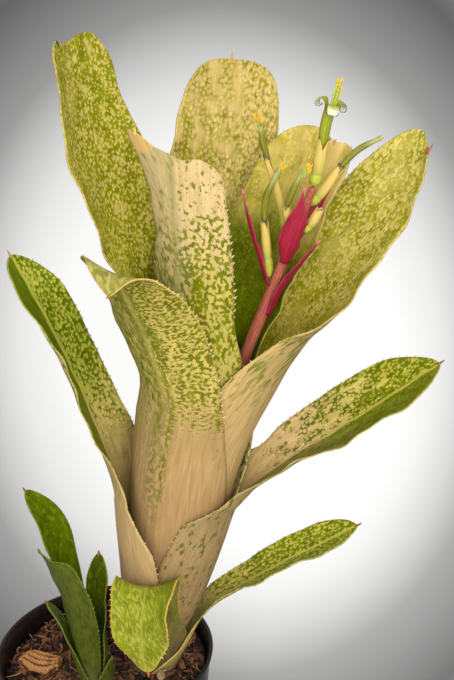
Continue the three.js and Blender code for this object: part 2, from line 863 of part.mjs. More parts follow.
function stemMesh(name, whorl, look) {
  const { stemRadius, stemBottom, stemTop } = whorl;
  const outline = [[0, stemBottom], [stemRadius * 0.7, stemBottom], [stemRadius, stemBottom + 3],
    [stemRadius, stemTop - 2], [stemRadius * 0.7, stemTop], [0, stemTop]];
  return meshOf(name, turned(outline, 16), look);
}

// Small curved scale, such as a bract, that stands on its foot
function scaleMesh(scale, look) {
  const geometry = leafGeometry({ ...scale, keel: 0, layer: 0 }, { thickness: SCALE_THICKNESS }, 4, 4, 2);
  const mesh = meshOf(scale.name, geometry, look);
  mesh.position.set(...scale.foot);
  return mesh;
}

const rosette = {
  tube: TUBE, stemRadius: STEM_RADIUS, stemBottom: STEM_BOTTOM, stemTop: STEM_TOP,
  thickness: LEAF_THICKNESS, pitch: LAYER_PITCH, group: whorlGroup(ROSETTE_FOOT, ROSETTE_LEAN),
};
const pup = {
  tube: PUP_TUBE, stemRadius: PUP_STEM_RADIUS, stemBottom: PUP_STEM_BOTTOM, stemTop: PUP_STEM_TOP,
  thickness: PUP_THICKNESS, pitch: PUP_PITCH, group: whorlGroup(PUP_FOOT, PUP_LEAN),
};

rosette.group.add(stemMesh('stem', rosette, 'sheath'));
for (const leaf of LEAVES) rosette.group.add(meshOf(leaf.name, leafGeometry(leaf, rosette), 'leaf'));
rosette.group.add(meshOf('flower_stalk', rodGeometry(SCAPE, SCAPE_RADII, 8, 14), 'stalk'));
for (const bract of BRACTS) rosette.group.add(scaleMesh(bract, 'bract'));
for (const flower of FLOWERS) {
  const pieces = [
    ['calyx', flower.calyx, flower.calyxRadii, 'calyx'],
    ['corolla', flower.corolla, flower.corollaRadii, 'petal'],
    ['stamens', flower.stamens, flower.stamenRadii, 'anther'],
  ];
  for (const [piece, path, radii, look] of pieces) {
    if (path) rosette.group.add(meshOf(`${flower.name}_${piece}`, rodGeometry(path, radii), look));
  }
}

pup.group.add(stemMesh('pup_stem', pup, 'pup'));
for (const leaf of PUP_LEAVES) pup.group.add(meshOf(leaf.name, leafGeometry(leaf, pup, 8, 3, 2), 'pup'));

const plant = new THREE.Group();
plant.add(nurseryPot(), pottingMix([rosette, pup]), rosette.group, pup.group);
for (const bark of BARK) plant.add(meshOf(bark.name, fromSolid(toSolid(barkGeometry(bark))), 'bark'));
plant.add(scaleMesh(DRY_SCRAP, 'sheath'));

export default plant;
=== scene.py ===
"""Looks of a potted billbergia: a leaning tubular rosette with its flower spike, a young
offset, bark mix and a black nursery pot.

Lengths in the specifications are millimetres. A rosette's own frame stands in the mix and
leans with it: right, back and up. A leaf's azimuth is in degrees from the right, turning to
the back.
"""
import json
import logging
import math
from dataclasses import dataclass, field, replace
from enum import Enum
from statistics import NormalDist
from typing import Iterable, Optional, Sequence

import bpy
import numpy as np
from mathutils import Matrix, Vector

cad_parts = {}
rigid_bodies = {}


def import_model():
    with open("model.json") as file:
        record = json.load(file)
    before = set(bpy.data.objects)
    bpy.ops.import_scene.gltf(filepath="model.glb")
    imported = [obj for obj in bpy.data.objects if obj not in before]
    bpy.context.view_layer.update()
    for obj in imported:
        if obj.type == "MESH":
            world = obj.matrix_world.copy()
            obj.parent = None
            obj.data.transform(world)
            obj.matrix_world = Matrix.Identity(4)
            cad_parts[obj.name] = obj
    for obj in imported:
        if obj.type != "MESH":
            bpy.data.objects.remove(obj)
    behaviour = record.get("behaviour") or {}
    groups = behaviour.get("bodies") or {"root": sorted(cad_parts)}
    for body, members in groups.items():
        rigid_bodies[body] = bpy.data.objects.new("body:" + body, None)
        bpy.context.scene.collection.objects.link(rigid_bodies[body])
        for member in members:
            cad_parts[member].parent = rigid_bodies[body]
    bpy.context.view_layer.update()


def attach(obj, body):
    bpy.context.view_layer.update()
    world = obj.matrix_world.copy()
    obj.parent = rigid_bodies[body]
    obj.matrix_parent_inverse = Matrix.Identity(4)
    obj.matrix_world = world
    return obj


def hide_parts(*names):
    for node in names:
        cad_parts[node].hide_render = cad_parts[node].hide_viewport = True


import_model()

LOG = logging.getLogger("billbergia")
MM = 0.001
FULL_TURN = 6.283
BODY = "root"
# Share of a rod's half length before its ends round off, and how sharply they do.
ROD_MIDDLE = 0.04
ROD_POWER = 24
Colour = tuple[float, float, float]


# Shader building

class Wire:
    """A socket, or a number, that takes part in shader maths."""

    def __init__(self, tree: "Weave", value: object) -> None:
        """Keeps the tree and the socket or number."""
        self.tree = tree
        self.value = value

    def _math(self, operation: str, *others: object) -> "Wire":
        """Adds a Math node that works on this value and others."""
        return self.tree.add("ShaderNodeMath", {"operation": operation}, [self, *others])

    def __add__(self, other: object) -> "Wire":
        """Sum."""
        return self._math("ADD", other)

    __radd__ = __add__

    def __sub__(self, other: object) -> "Wire":
        """Difference."""
        return self._math("SUBTRACT", other)

    def __rsub__(self, other: object) -> "Wire":
        """Difference with this value taken away."""
        return self.tree.add("ShaderNodeMath", {"operation": "SUBTRACT"}, [other, self])

    def __mul__(self, other: object) -> "Wire":
        """Product."""
        return self._math("MULTIPLY", other)

    __rmul__ = __mul__

    def __truediv__(self, other: object) -> "Wire":
        """Quotient."""
        return self._math("DIVIDE", other)

    def power(self, exponent: object) -> "Wire":
        """This value raised to exponent."""
        return self._math("POWER", exponent)

    def most(self, other: object) -> "Wire":
        """The larger of two values."""
        return self._math("MAXIMUM", other)

    def size(self) -> "Wire":
        """The value without its sign."""
        return self._math("ABSOLUTE")

    def ramp(self, low: object, high: object) -> "Wire":
        """Smooth step from 0 at low to 1 at high; low may be above high."""
        settings = {"interpolation_type": "SMOOTHSTEP"}
        return self.tree.add("ShaderNodeMapRange", settings, {"Value": self, 1: low, 2: high})


class Weave:
    """Builds the nodes of one material."""

    def __init__(self, name: str) -> None:
        """Starts an empty node material called name."""
        self.material = bpy.data.materials.new(name)
        self.material.use_nodes = True
        self.tree = self.material.node_tree
        self.tree.nodes.clear()

    def add(self, kind: str, settings: Optional[dict] = None, inputs: object = (),
            output: object = 0) -> Wire:
        """Adds one node.

        Args:
            kind: Node type name.
            settings: Node properties, set before the inputs; "stops" fills a colour ramp.
            inputs: Values or wires, in order or by socket name or number.
            output: Name or number of the output that is returned.

        Returns:
            The node's output as a wire.
        """
        node = self.tree.nodes.new(kind)
        for key, value in (settings or {}).items():
            if key == "stops":
                self._fill_ramp(node.color_ramp, value)
            else:
                setattr(node, key, value)
        pairs = inputs.items() if isinstance(inputs, dict) else enumerate(inputs)
        for key, value in pairs:
            self._feed(node.inputs[key], value)
        return Wire(self, node.outputs[output])

    def _fill_ramp(self, ramp: bpy.types.ColorRamp, stops: Sequence) -> None:
        """Sets a ramp's stops from (place, colour) pairs.

        Args:
            ramp: Ramp to fill.
            stops: Places and colours, in order.
        """
        while len(ramp.elements) < len(stops):
            ramp.elements.new(1.0)
        for element, (place, colour) in zip(ramp.elements, stops):
            element.position = place
            element.color = (*colour, 1.0)

    def _feed(self, socket: bpy.types.NodeSocket, value: object) -> None:
        """Links a wire to a socket, or sets the socket's own value.

        Args:
            socket: Input of a node.
            value: Wire, number, vector or colour.
        """
        if isinstance(value, Wire):
            value = value.value
        if isinstance(value, bpy.types.NodeSocket):
            self.tree.links.new(value, socket)
        elif isinstance(value, tuple) and len(value) == 3 and socket.type == "RGBA":
            socket.default_value = (*value, 1.0)
        else:
            socket.default_value = value

    def attribute(self, name: str) -> Wire:
        """The piece's own named value."""
        return self.add("ShaderNodeAttribute", {"attribute_name": name}, (), "Fac")

    def uv(self) -> Wire:
        """The piece's own UV map."""
        return self.add("ShaderNodeUVMap", {"uv_map": "Surface"})

    def place(self) -> Wire:
        """Object coordinates."""
        return self.add("ShaderNodeTexCoord", {}, (), "Object")

    def stretch(self, vector: Wire, scale: Sequence[float], turn: float = 0.0,
                shift: Sequence[float] = (0, 0, 0)) -> Wire:
        """Scales a vector on each axis, after a turn about its third axis, in degrees.

        Args:
            vector: Vector to scale.
            scale: Scale on each axis.
            turn: Turn before the scaling, in degrees.
            shift: Shift before the scaling.

        Returns:
            The scaled vector.
        """
        turned = self.add("ShaderNodeMapping", {}, {
            "Vector": vector, "Rotation": (0, 0, math.radians(turn)), "Location": tuple(shift)})
        return self.add("ShaderNodeVectorMath", {"operation": "MULTIPLY"}, [turned, tuple(scale)])

    def axis(self, vector: Wire, name: str) -> Wire:
        """One part of a vector: X, Y or Z."""
        return self.add("ShaderNodeSeparateXYZ", {}, [vector], name)

    def noise(self, vector: Wire, scale: Sequence[float], detail: float,
              roughness: float = 0.55, turn: float = 0.0) -> Wire:
        """Noise value at a vector.

        Args:
            vector: Vector to read.
            scale: Grains to a unit on each axis.
            detail: Octaves of finer noise.
            roughness: Strength of the finer noise.
            turn: Turn about the third axis, in degrees.

        Returns:
            The noise, from 0 to 1.
        """
        return self.add("ShaderNodeTexNoise", {}, {
            "Vector": self.stretch(vector, scale, turn), "Scale": 1.0, "Detail": detail,
            "Roughness": roughness})

    def plain_noise(self, vector: Wire, scale: Sequence[float], detail: float,
                    turn: float = 0.0, shift: Sequence[float] = (0, 0, 0)) -> Wire:
        """Noise value on a flat pattern.

        Args:
            vector: Vector to read.
            scale: Grains to a unit on each axis.
            detail: Octaves of finer noise.
            turn: Turn about the third axis, in degrees.
            shift: Shift before the scaling.

        Returns:
            The noise, from 0 to 1.
        """
        return self.add("ShaderNodeTexNoise", {"noise_dimensions": "2D"}, {
            "Vector": self.stretch(vector, scale, turn, shift), "Scale": 1.0, "Detail": detail,
            "Roughness": 0.5})

    def grey(self, value: Wire, low: float, high: float, dark: float, light: float) -> Wire:
        """Grey that goes from dark to light as a value goes from low to high."""
        stops = [(low, (dark,) * 3), (high, (light,) * 3)]
        return self.add("ShaderNodeValToRGB", {"stops": stops}, [value])

    def cells(self, vector: Wire, feature: str = "F1") -> Wire:
        """Distance to the nearest cell point, or to the cell's edge."""
        return self.add("ShaderNodeTexVoronoi", {"feature": feature}, {
            "Vector": vector, "Scale": 1.0}, "Distance")

    def times(self, colour: object, other: object) -> Wire:
        """Product of two colours."""
        return self.blend(1.0, colour, other, "MULTIPLY")

    def blend(self, factor: object, low: object, high: object, kind: str = "MIX") -> Wire:
        """Mixes two colours.

        Args:
            factor: Share of the second colour.
            low: First colour.
            high: Second colour.
            kind: Blend type.

        Returns:
            The mixed colour.
        """
        node = self.tree.nodes.new("ShaderNodeMix")
        node.data_type = "RGBA"
        node.blend_type = kind
        node.clamp_factor = True
        sockets = {s.identifier: s for s in node.inputs}
        self._feed(sockets["Factor_Float"], factor)
        self._feed(sockets["A_Color"], low)
        self._feed(sockets["B_Color"], high)
        result = [s for s in node.outputs if s.identifier == "Result_Color"][0]
        return Wire(self, result)

    def bump(self, height: Wire, depth: float, strength: float = 1.0) -> Wire:
        """Bump from a height, depth in metres at a height of 1."""
        return self.add("ShaderNodeBump", {}, {
            "Height": height, "Distance": depth, "Strength": strength})

    def surface(self, **inputs: object) -> bpy.types.Material:
        """Ends the tree in a Principled surface.

        Args:
            inputs: Socket names with underscores for spaces, and their values.

        Returns:
            The finished material.
        """
        named = {key.replace("_", " "): value for key, value in inputs.items()}
        shader = self.add("ShaderNodeBsdfPrincipled", {}, named)
        output = self.tree.nodes.new("ShaderNodeOutputMaterial")
        self.tree.links.new(shader.value, output.inputs["Surface"])
        return self.material


# Mesh helpers

def spline(points: np.ndarray, t: np.ndarray) -> np.ndarray:
    """Uniform Catmull-Rom curve through points.

    Args:
        points: Control points, one to a row.
        t: Places along the curve from 0 to 1.

    Returns:
        Curve points, one to a row.
    """
    spans = len(points) - 1
    padded = np.vstack([2 * points[0] - points[1], points, 2 * points[-1] - points[-2]])
    scaled = np.clip(t, 0, 1) * spans
    index = np.minimum(scaled.astype(int), spans - 1)
    w = (scaled - index)[:, None]
    p0, p1, p2, p3 = (padded[index + k] for k in range(4))
    m1 = 0.5 * (p2 - p0)
    m2 = 0.5 * (p3 - p1)
    return ((2 * w**3 - 3 * w**2 + 1) * p1 + (w**3 - 2 * w**2 + w) * m1
            + (-2 * w**3 + 3 * w**2) * p2 + (w**3 - w**2) * m2)


def unit(vectors: np.ndarray) -> np.ndarray:
    """Vectors scaled to length 1 along the last axis."""
    return vectors / np.maximum(np.linalg.norm(vectors, axis=-1, keepdims=True), 1e-12)


def turn_about(vectors: np.ndarray, axes: np.ndarray, angles: np.ndarray) -> np.ndarray:
    """Each vector turned about its own unit axis by its own angle in radians.

    Args:
        vectors: Vectors, one to a row.
        axes: Unit axes, one to a row.
        angles: Angles in radians.

    Returns:
        The turned vectors.
    """
    c = np.cos(angles)[:, None]
    s = np.sin(angles)[:, None]
    along = np.sum(vectors * axes, axis=1, keepdims=True) * axes
    return vectors * c + np.cross(axes, vectors) * s + along * (1 - c)


def smooth(x: np.ndarray, low: float, high: float) -> np.ndarray:
    """Smooth step from 0 at low to 1 at high."""
    t = np.clip((x - low) / (high - low), 0, 1)
    return t * t * (3 - 2 * t)


def eased(x: np.ndarray, places: np.ndarray, values: np.ndarray) -> np.ndarray:
    """Values between given places, with a smooth step from each to the next.

    Args:
        x: Places to work out.
        places: Given places, in order.
        values: Values at those places.

    Returns:
        Values at the places x.
    """
    index = np.clip(np.searchsorted(places, x) - 1, 0, len(places) - 2)
    step = smooth((x - places[index]) / (places[index + 1] - places[index]), 0, 1)
    return values[index] + (values[index + 1] - values[index]) * step


@dataclass
class Shell:
    """Points and faces of one closed skin, with values for its materials.

    Attributes:
        points: Points, one to a row.
        faces: Numbers of the points of each face.
        uv: Surface coordinates of each point.
        values: Named values of each point.
    """

    points: np.ndarray
    faces: list[tuple[int, ...]]
    uv: np.ndarray
    values: dict[str, np.ndarray] = field(default_factory=dict)

    def joined(self, other: "Shell") -> "Shell":
        """This skin and another as one mesh; a value that one lacks is 0 there.

        Args:
            other: Skin to add.

        Returns:
            The joined skin.
        """
        count = len(self.points)
        faces = self.faces + [tuple(i + count for i in face) for face in other.faces]
        values = {}
        for key in set(self.values) | set(other.values):
            mine = self.values.get(key, np.zeros(count))
            theirs = other.values.get(key, np.zeros(len(other.points)))
            values[key] = np.concatenate([mine, theirs])
        return Shell(np.vstack([self.points, other.points]), faces,
                     np.vstack([self.uv, other.uv]), values)


def add_object(name: str, data: bpy.types.ID) -> bpy.types.Object:
    """Puts a new object with its mesh, camera or light into the scene.

    Args:
        name: Object name.
        data: What the object holds.

    Returns:
        The new object.
    """
    made = bpy.data.objects.new(name, data)
    bpy.context.scene.collection.objects.link(made)
    return made


def mesh_object(name: str, shell: Shell, to_world: Matrix = Matrix.Identity(4)) -> bpy.types.Object:
    """Makes a smooth mesh object in metres from a skin in millimetres.

    Args:
        name: Object name.
        shell: Skin to build.
        to_world: Place of the skin's frame, in millimetres.

    Returns:
        The object, at the origin with its place in its mesh.
    """
    mesh = bpy.data.meshes.new(name)
    turn = np.array(to_world)
    points = (shell.points @ turn[:3, :3].T + turn[:3, 3]) * MM
    mesh.from_pydata(points.tolist(), [], shell.faces)
    mesh.polygons.foreach_set("use_smooth", [True] * len(mesh.polygons))
    layer = mesh.uv_layers.new(name="Surface")
    corners = np.empty(len(mesh.loops), int)
    mesh.loops.foreach_get("vertex_index", corners)
    layer.data.foreach_set("uv", shell.uv[corners].astype(np.float32).ravel())
    for key, value in shell.values.items():
        attribute = mesh.attributes.new(key, "FLOAT", "POINT")
        attribute.data.foreach_set("value", value.astype(np.float32))
    mesh.validate()
    mesh.update()
    return add_object(name, mesh)


def place_piece(piece: bpy.types.Object, nodes: Iterable[str] = ()) -> None:
    """Rides a finished piece on the part, says which nodes it stands for, and reports it.

    Args:
        piece: Finished piece.
        nodes: Nodes of the part that it stands for.
    """
    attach(piece, BODY)
    names = list(nodes)
    if names:
        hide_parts(*names)
    LOG.info("%s: %d faces for %s", piece.name, len(piece.data.polygons), names or "its whorl")


def add_piece(name: str, shell: Shell, to_world: Matrix, material: bpy.types.Material,
              nodes: Iterable[str] = ()) -> None:
    """Builds, dresses and places a piece.

    Args:
        name: Object name.
        shell: Skin to build.
        to_world: Place of the skin's frame, in millimetres.
        material: Material of the piece.
        nodes: Nodes of the part that it stands for.
    """
    piece = mesh_object(name, shell, to_world)
    piece.data.materials.append(material)
    place_piece(piece, nodes)


def ring_faces(rings: int, sides: int, flip: bool = False) -> list[tuple[int, ...]]:
    """Faces between rings of points.

    Args:
        rings: Number of rings.
        sides: Points of a ring.
        flip: Whether the faces look the other way.

    Returns:
        The faces, ring by ring.
    """
    faces = []
    for i in range(rings - 1):
        for j in range(sides):
            a, b = i * sides + j, i * sides + (j + 1) % sides
            c, d = b + sides, a + sides
            faces.append((a, d, c, b) if flip else (a, b, c, d))
    return faces


def rod_faces(rings: int, sides: int) -> list[tuple[int, ...]]:
    """Faces between rings of points, with a face over each end.

    Args:
        rings: Number of rings.
        sides: Points of a ring.

    Returns:
        The faces, ring by ring, then those over the ends.
    """
    last = (rings - 1) * sides
    return [*ring_faces(rings, sides), tuple(range(sides - 1, -1, -1)),
            tuple(last + j for j in range(sides))]


def tube(path: Sequence, radii: Sequence, sides: int = 16, rows: int = 40,
         flatten: float = 1.0) -> Shell:
    """Closed rod along a smooth path, round at both ends.

    Args:
        path: Points of its middle line.
        radii: Radii, evenly spread along the path.
        sides: Sides of the section.
        rows: Rows along the path.
        flatten: Depth of the section as a share of its width.

    Returns:
        The rod, with its value "along" from 0 to 1.
    """
    t = np.linspace(0, 1, rows)
    outwards = np.clip(np.abs(2 * t - 1) * (1 + ROD_MIDDLE) - ROD_MIDDLE, 0, 1)
    ends = np.sqrt(np.clip(1 - outwards ** ROD_POWER, 0, 1))
    centres = spline(np.array(path, float), t)
    tangents = unit(np.gradient(centres, axis=0))
    across = unit(np.cross(np.array([0.0, 1.0, 0.0]), tangents))
    upward = np.cross(tangents, across)
    radius = np.interp(t, np.linspace(0, 1, len(radii)), radii) * np.maximum(ends, 0.05)
    angle = np.linspace(0, 2 * math.pi, sides, endpoint=False)
    ring = (across[:, None] * np.cos(angle)[None, :, None]
            + upward[:, None] * flatten * np.sin(angle)[None, :, None])
    points = (centres[:, None] + ring * radius[:, None, None]).reshape(-1, 3)
    length = np.linalg.norm(np.diff(centres, axis=0), axis=1).sum()
    uv = np.stack([np.tile(angle / (2 * math.pi), rows), np.repeat(t * length, sides)], 1)
    return Shell(points, rod_faces(rows, sides), uv, {"along": np.repeat(t, sides)})


def skin(outer: np.ndarray, inner: np.ndarray, uv: np.ndarray,
         values: dict[str, np.ndarray]) -> Shell:
    """Closes two grids of points, an outer face and an inner one behind it, into one skin.

    Args:
        outer: Points of the outer face, rows by columns by 3.
        inner: Points of the inner face, in the same order.
        uv: Surface coordinates, rows by columns by 2.
        values: Named values, rows by columns; "inner" is added here.

    Returns:
        The closed skin.
    """
    rows, columns = outer.shape[:2]
    at = np.arange(2 * rows * columns).reshape(2, rows, columns)
    a, b, c, d = at[0, :-1, :-1], at[0, :-1, 1:], at[0, 1:, 1:], at[0, 1:, :-1]
    e, f, g, h = at[1, :-1, :-1], at[1, 1:, :-1], at[1, 1:, 1:], at[1, :-1, 1:]
    quads = [np.stack(q, -1).reshape(-1, 4) for q in ((a, b, c, d), (e, f, g, h))]
    left = (at[0, :-1, 0], at[0, 1:, 0], at[1, 1:, 0], at[1, :-1, 0])
    right = (at[0, :-1, -1], at[1, :-1, -1], at[1, 1:, -1], at[0, 1:, -1])
    foot = (at[0, 0, :-1], at[1, 0, :-1], at[1, 0, 1:], at[0, 0, 1:])
    end = (at[0, -1, :-1], at[0, -1, 1:], at[1, -1, 1:], at[1, -1, :-1])
    quads += [np.stack(q, -1) for q in (left, right, foot, end)]
    faces = [tuple(int(i) for i in q) for q in np.vstack(quads)]
    both = {key: np.tile(value.ravel(), 2) for key, value in values.items()}
    both["inner"] = np.repeat([0.0, 1.0], rows * columns)
    points = np.vstack([outer.reshape(-1, 3), inner.reshape(-1, 3)])
    return Shell(points, faces, np.tile(uv.reshape(-1, 2), (2, 1)), both)


# Leaves

@dataclass(frozen=True)
class Whorl:
    """A tube of nested leaf sheaths on a short stem, in its own leaning frame.

    Attributes:
        foot: Place of the frame in the pot.
        lean: Lean to the right in degrees.
        stem_radius: Radius of the stem.
        thickness: Thickness of a leaf.
        pitch: How far each sheath lies inside the one before it.
        tube: Levels and radii of the outermost sheath.
    """

    foot: Sequence[float]
    lean: float
    stem_radius: float
    thickness: float
    pitch: float
    tube: Sequence[tuple[float, float]]

    stem_gap = 0.4
    first_step = 2.0
    most_sweep = 14.0

    def matrix(self) -> Matrix:
        """Place of the frame, in millimetres."""
        return Matrix.Translation(self.foot) @ Matrix.Rotation(math.radians(self.lean), 4, "Y")

    def slices(self, shape: "LeafShape") -> list[list[float]]:
        """Level slices of one leaf's sheath: out, up, radius and wrap.

        Args:
            shape: Form of the leaf.

        Returns:
            Rows of out, up, radius, wrap and lap.
        """
        levels, radii = zip(*self.tube)
        inset = shape.layer * self.pitch
        foot = float(np.interp(self.stem_radius + self.stem_gap + self.thickness + inset,
                               radii, levels))
        marks = [foot] + [level for level in levels if level > foot + self.first_step]
        found = []
        for wrap, level in zip(shape.wraps, marks):
            out = float(np.interp(level, levels, radii)) - inset
            found.append([out, level, out, wrap, 0.0])
        return found + [[*row, 0.0][:5] for row in shape.mouth]

    def stations(self, shape: "LeafShape") -> list[list[float]]:
        """Sheath rows of a leaf, with slices added where its margin sweeps round quickly.

        Args:
            shape: Form of the leaf.

        Returns:
            Rows of out, up, side, half width, wrap, turn and lap.
        """
        if not shape.wraps:
            return []
        found = self.slices(shape)
        rows = []
        for here, after in zip(found, found[1:]):
            parts = max(math.ceil(abs(after[3] - here[3]) / self.most_sweep), 1)
            for k in range(parts):
                rows.append([a + (b - a) * k / parts for a, b in zip(here, after)])
        rows.append(found[-1])
        return [[out, up, 0, radius * math.radians(wrap), wrap, 0, lap]
                for out, up, radius, wrap, lap in rows]


@dataclass(frozen=True)
class LeafShape:
    """Form of one leaf or scale.

    Attributes:
        azimuth: Direction it stands in, in degrees.
        blade: Rows of out, up, side, half width, wrap and turn, and lap, the extra share
            of wrap on its first side, where there is any.
        tip: Length of its rounded end.
        layer: Place among the nested sheaths, 0 outermost.
        wraps: Wrap of its sheath at each level, in degrees each way.
        mouth: Further slices of a sheath that opens before its blade: out, up, radius
            and wrap, and lap where there is any.
        keel: Depth of the fold along its middle, as a share of its half width.
        ruffle: Waves of its margins: height, length and phase.
        blunt: Power of the rounded end on its first and second side.
        spine: Length of the spine at its apex.
        end: Rows of place across from -1 to 1, reach beyond the rounded end, bend
            towards the inner side, and shift to the side.
        spine_at: Place across where the spine stands.
    """

    azimuth: float
    blade: Sequence[Sequence[float]]
    tip: float
    layer: int = 0
    wraps: Sequence[float] = ()
    mouth: Sequence[Sequence[float]] = ()
    keel: float = 0.0
    ruffle: Sequence[tuple[float, float, float]] = ((1.2, 46, 0.4), (0.5, 19, 2.1))
    blunt: tuple[float, float] = (2.0, 2.0)
    spine: float = 3.5
    end: Sequence[tuple[float, float, float, float]] = ((-1, 0, 0, 0), (1, 0, 0, 0))
    spine_at: float = 0.0


@dataclass
class LeafSurface:
    """Fine skin of one leaf, worked out row by row.

    Attributes:
        shape: Form of the leaf.
        whorl: Tube that it stands in, or None for a scale on its own foot.
        thickness: Thickness of the leaf.
        columns: Columns from margin to margin.
        detail: Rows to each 100 mm of the blade.
    """

    shape: LeafShape
    whorl: Optional[Whorl]
    thickness: float = 0.85
    columns: int = 32
    detail: int = 26

    least_half = 0.5
    flat_wrap = 0.02
    least_bend = 0.25
    keel_ease = 0.15
    tip_rows = 18
    steps = 1500
    second_phase = 1.9
    margin_power = 2.5
    tooth_lean = 0.7

    def __post_init__(self) -> None:
        """Works out every row of the leaf."""
        shape = self.shape
        turn = math.radians(shape.azimuth)
        self.outward = np.array([math.cos(turn), math.sin(turn), 0.0])
        self.sideways = np.array([-math.sin(turn), math.cos(turn), 0.0])
        sheath = self.whorl.stations(shape) if self.whorl else []
        rows = np.array(sheath + [[*row, 0.0][:7] for row in shape.blade], float)
        self.spans = len(rows) - 1
        self.leave = max(len(sheath) - 1, 0)
        self.midrib = (rows[:, :1] * self.outward + rows[:, 2:3] * self.sideways
                       + rows[:, 1:2] * np.array([0, 0, 1.0]))
        self.forms = rows[:, 3:] * np.array([1, math.radians(1), math.radians(1), 1])
        self._measure()
        self._place_rows()
        self._build_grids()

    def _measure(self) -> None:
        """Finds lengths along the midrib."""
        self.dense = np.linspace(0, 1, self.steps)
        points = spline(self.midrib, self.dense)
        steps = np.linalg.norm(np.diff(points, axis=0), axis=1)
        self.lengths = np.concatenate([[0], np.cumsum(steps)])
        self.length = self.lengths[-1]
        self.leave_length = np.interp(self.leave / self.spans, self.dense, self.lengths)

    def _place_rows(self) -> None:
        """Chooses the rows: along the sheath, the blade and the rounded end."""
        tip_start = self.length - self.shape.tip
        rows = max(int(self.detail * (tip_start - self.leave_length) / 100), 4)
        blade = np.linspace(self.leave_length, tip_start, rows)
        sheath = np.linspace(0, self.leave_length, 3 * self.leave + 1)[:-1]
        angles = np.linspace(0, math.pi / 2, self.tip_rows + 1)[1:]
        ends = np.sin(angles) ** (2 / max(self.shape.blunt))
        self.travelled = np.concatenate([sheath, blade, tip_start + self.shape.tip * ends])
        self.share = np.concatenate([np.zeros(len(sheath) + len(blade)), ends])
        self.narrowing = np.stack([np.clip(1 - self.share ** power, 0, 1) ** (1 / power)
                                   for power in self.shape.blunt], axis=1)
        self.t = np.interp(self.travelled, self.lengths, self.dense)

    def _frames(self) -> tuple[np.ndarray, np.ndarray, np.ndarray, np.ndarray]:
        """Tangent, across and inward directions of every row, and how free it is.

        Returns:
            Tangents, directions across, directions inward, and freedom.
        """
        nudge = 0.0005
        tangent = unit(spline(self.midrib, self.t + nudge) - spline(self.midrib, self.t - nudge))
        freed = np.clip(self.t * self.spans - self.leave, 0, 1)
        if self.leave == 0:
            freed = np.clip(self.t * self.spans, 0, 1)
        side = self.sideways
        across = unit(side - (tangent @ side)[:, None] * tangent)
        inward = np.cross(tangent, across)
        turn = spline(self.forms, self.t)[:, 2]
        across = turn_about(across, tangent, turn)
        inward = turn_about(inward, tangent, turn)
        loose = freed[:, None]
        across = unit(across * loose + side * (1 - loose))
        inward = unit(inward * loose - self.outward * (1 - loose))
        return tangent, across, inward, freed

    def _build_grids(self) -> None:
        """Works out the points of both faces and the values that materials read."""
        tangent, across, inward, freed = self._frames()
        form = spline(self.forms, self.t)
        u = np.linspace(-1, 1, self.columns + 1)
        ease = self.narrowing[:, [0]] * (u < 0) + self.narrowing[:, [1]] * (u >= 0)
        half = np.maximum(form[:, [0]] * ease, self.least_half)
        wrap = (np.maximum(form[:, [1]], self.flat_wrap)
                * np.maximum(self.narrowing.mean(1, keepdims=True), self.least_bend))
        radius = half / wrap
        lap = 1 + form[:, [3]] * (u < 0)
        angle = u[None] * wrap * lap
        fold = (self.shape.keel * half * freed[:, None]
                * (np.hypot(u, self.keel_ease)[None] - self.keel_ease))
        centre = spline(self.midrib, self.t)
        run = (radius * np.sin(angle))[..., None]
        rise = (radius * (1 - np.cos(angle)) + fold)[..., None]
        outer = centre[:, None] + across[:, None] * run + inward[:, None] * rise
        facing = (inward[:, None] * np.cos(angle)[..., None]
                  - across[:, None] * np.sin(angle)[..., None])
        outer = outer + facing * self._ruffles(u, freed)[..., None]
        self.lateral = ease * u[None]
        self.reach, bend, aside = self._end_shape()
        outer = (outer + tangent[:, None] * self.reach[..., None] + facing * bend[..., None]
                 + across[:, None] * aside[..., None])
        self.outer = outer
        self.inner = outer + facing * self.thickness
        self.tangent = tangent
        self.half = half * lap
        self.u = u
        self.freed = freed

    def _end_shape(self) -> list[np.ndarray]:
        """How far every point of the end reaches out, bends in and moves aside.

        Returns:
            The three distances, each rows by columns.
        """
        places, *moves = np.array(self.shape.end, float).T
        weight = (self.share ** 2)[:, None]
        return [eased(self.lateral, places, move) * weight for move in moves]

    def _ruffles(self, u: np.ndarray, freed: np.ndarray) -> np.ndarray:
        """Heights of the waves along the margins.

        Args:
            u: Places across.
            freed: How free each row is.

        Returns:
            Heights, rows by columns.
        """
        height = np.zeros((len(freed), len(u)))
        for amount, length, phase in self.shape.ruffle:
            swing = 2 * math.pi * self.travelled[:, None] / length
            shift = phase + np.where(u > 0, self.second_phase, 0)[None]
            height += amount * np.sin(swing + shift)
        quiet = np.minimum(self.narrowing.mean(1), 1) * freed
        return height * (np.abs(u) ** self.margin_power)[None] * quiet[:, None]

    def shell(self) -> Shell:
        """The closed skin, with its values and the spine at its apex.

        Returns:
            The closed skin.
        """
        size = self.outer.shape[:2]
        to_end = np.broadcast_to((self.length - self.travelled)[:, None], size)
        to_tip = np.linalg.norm(self.outer - self._apex()[1], axis=-1)
        edge = self.half * (1 - np.abs(self.u))[None]
        above = np.broadcast_to((self.travelled - self.leave_length)[:, None], size)
        uv = np.stack([self.half * self.u[None],
                       np.broadcast_to(self.travelled[:, None], size)], -1)
        values = {
            "along": np.broadcast_to((self.travelled / self.length)[:, None], size),
            "across": np.broadcast_to(self.u[None], size),
            "edge": np.minimum(edge, to_end),
            "to_tip": to_tip,
            "above": above,
        }
        body = skin(self.outer, self.inner, uv, values)
        if self.shape.spine <= 0:
            return body
        return body.joined(self._spine())

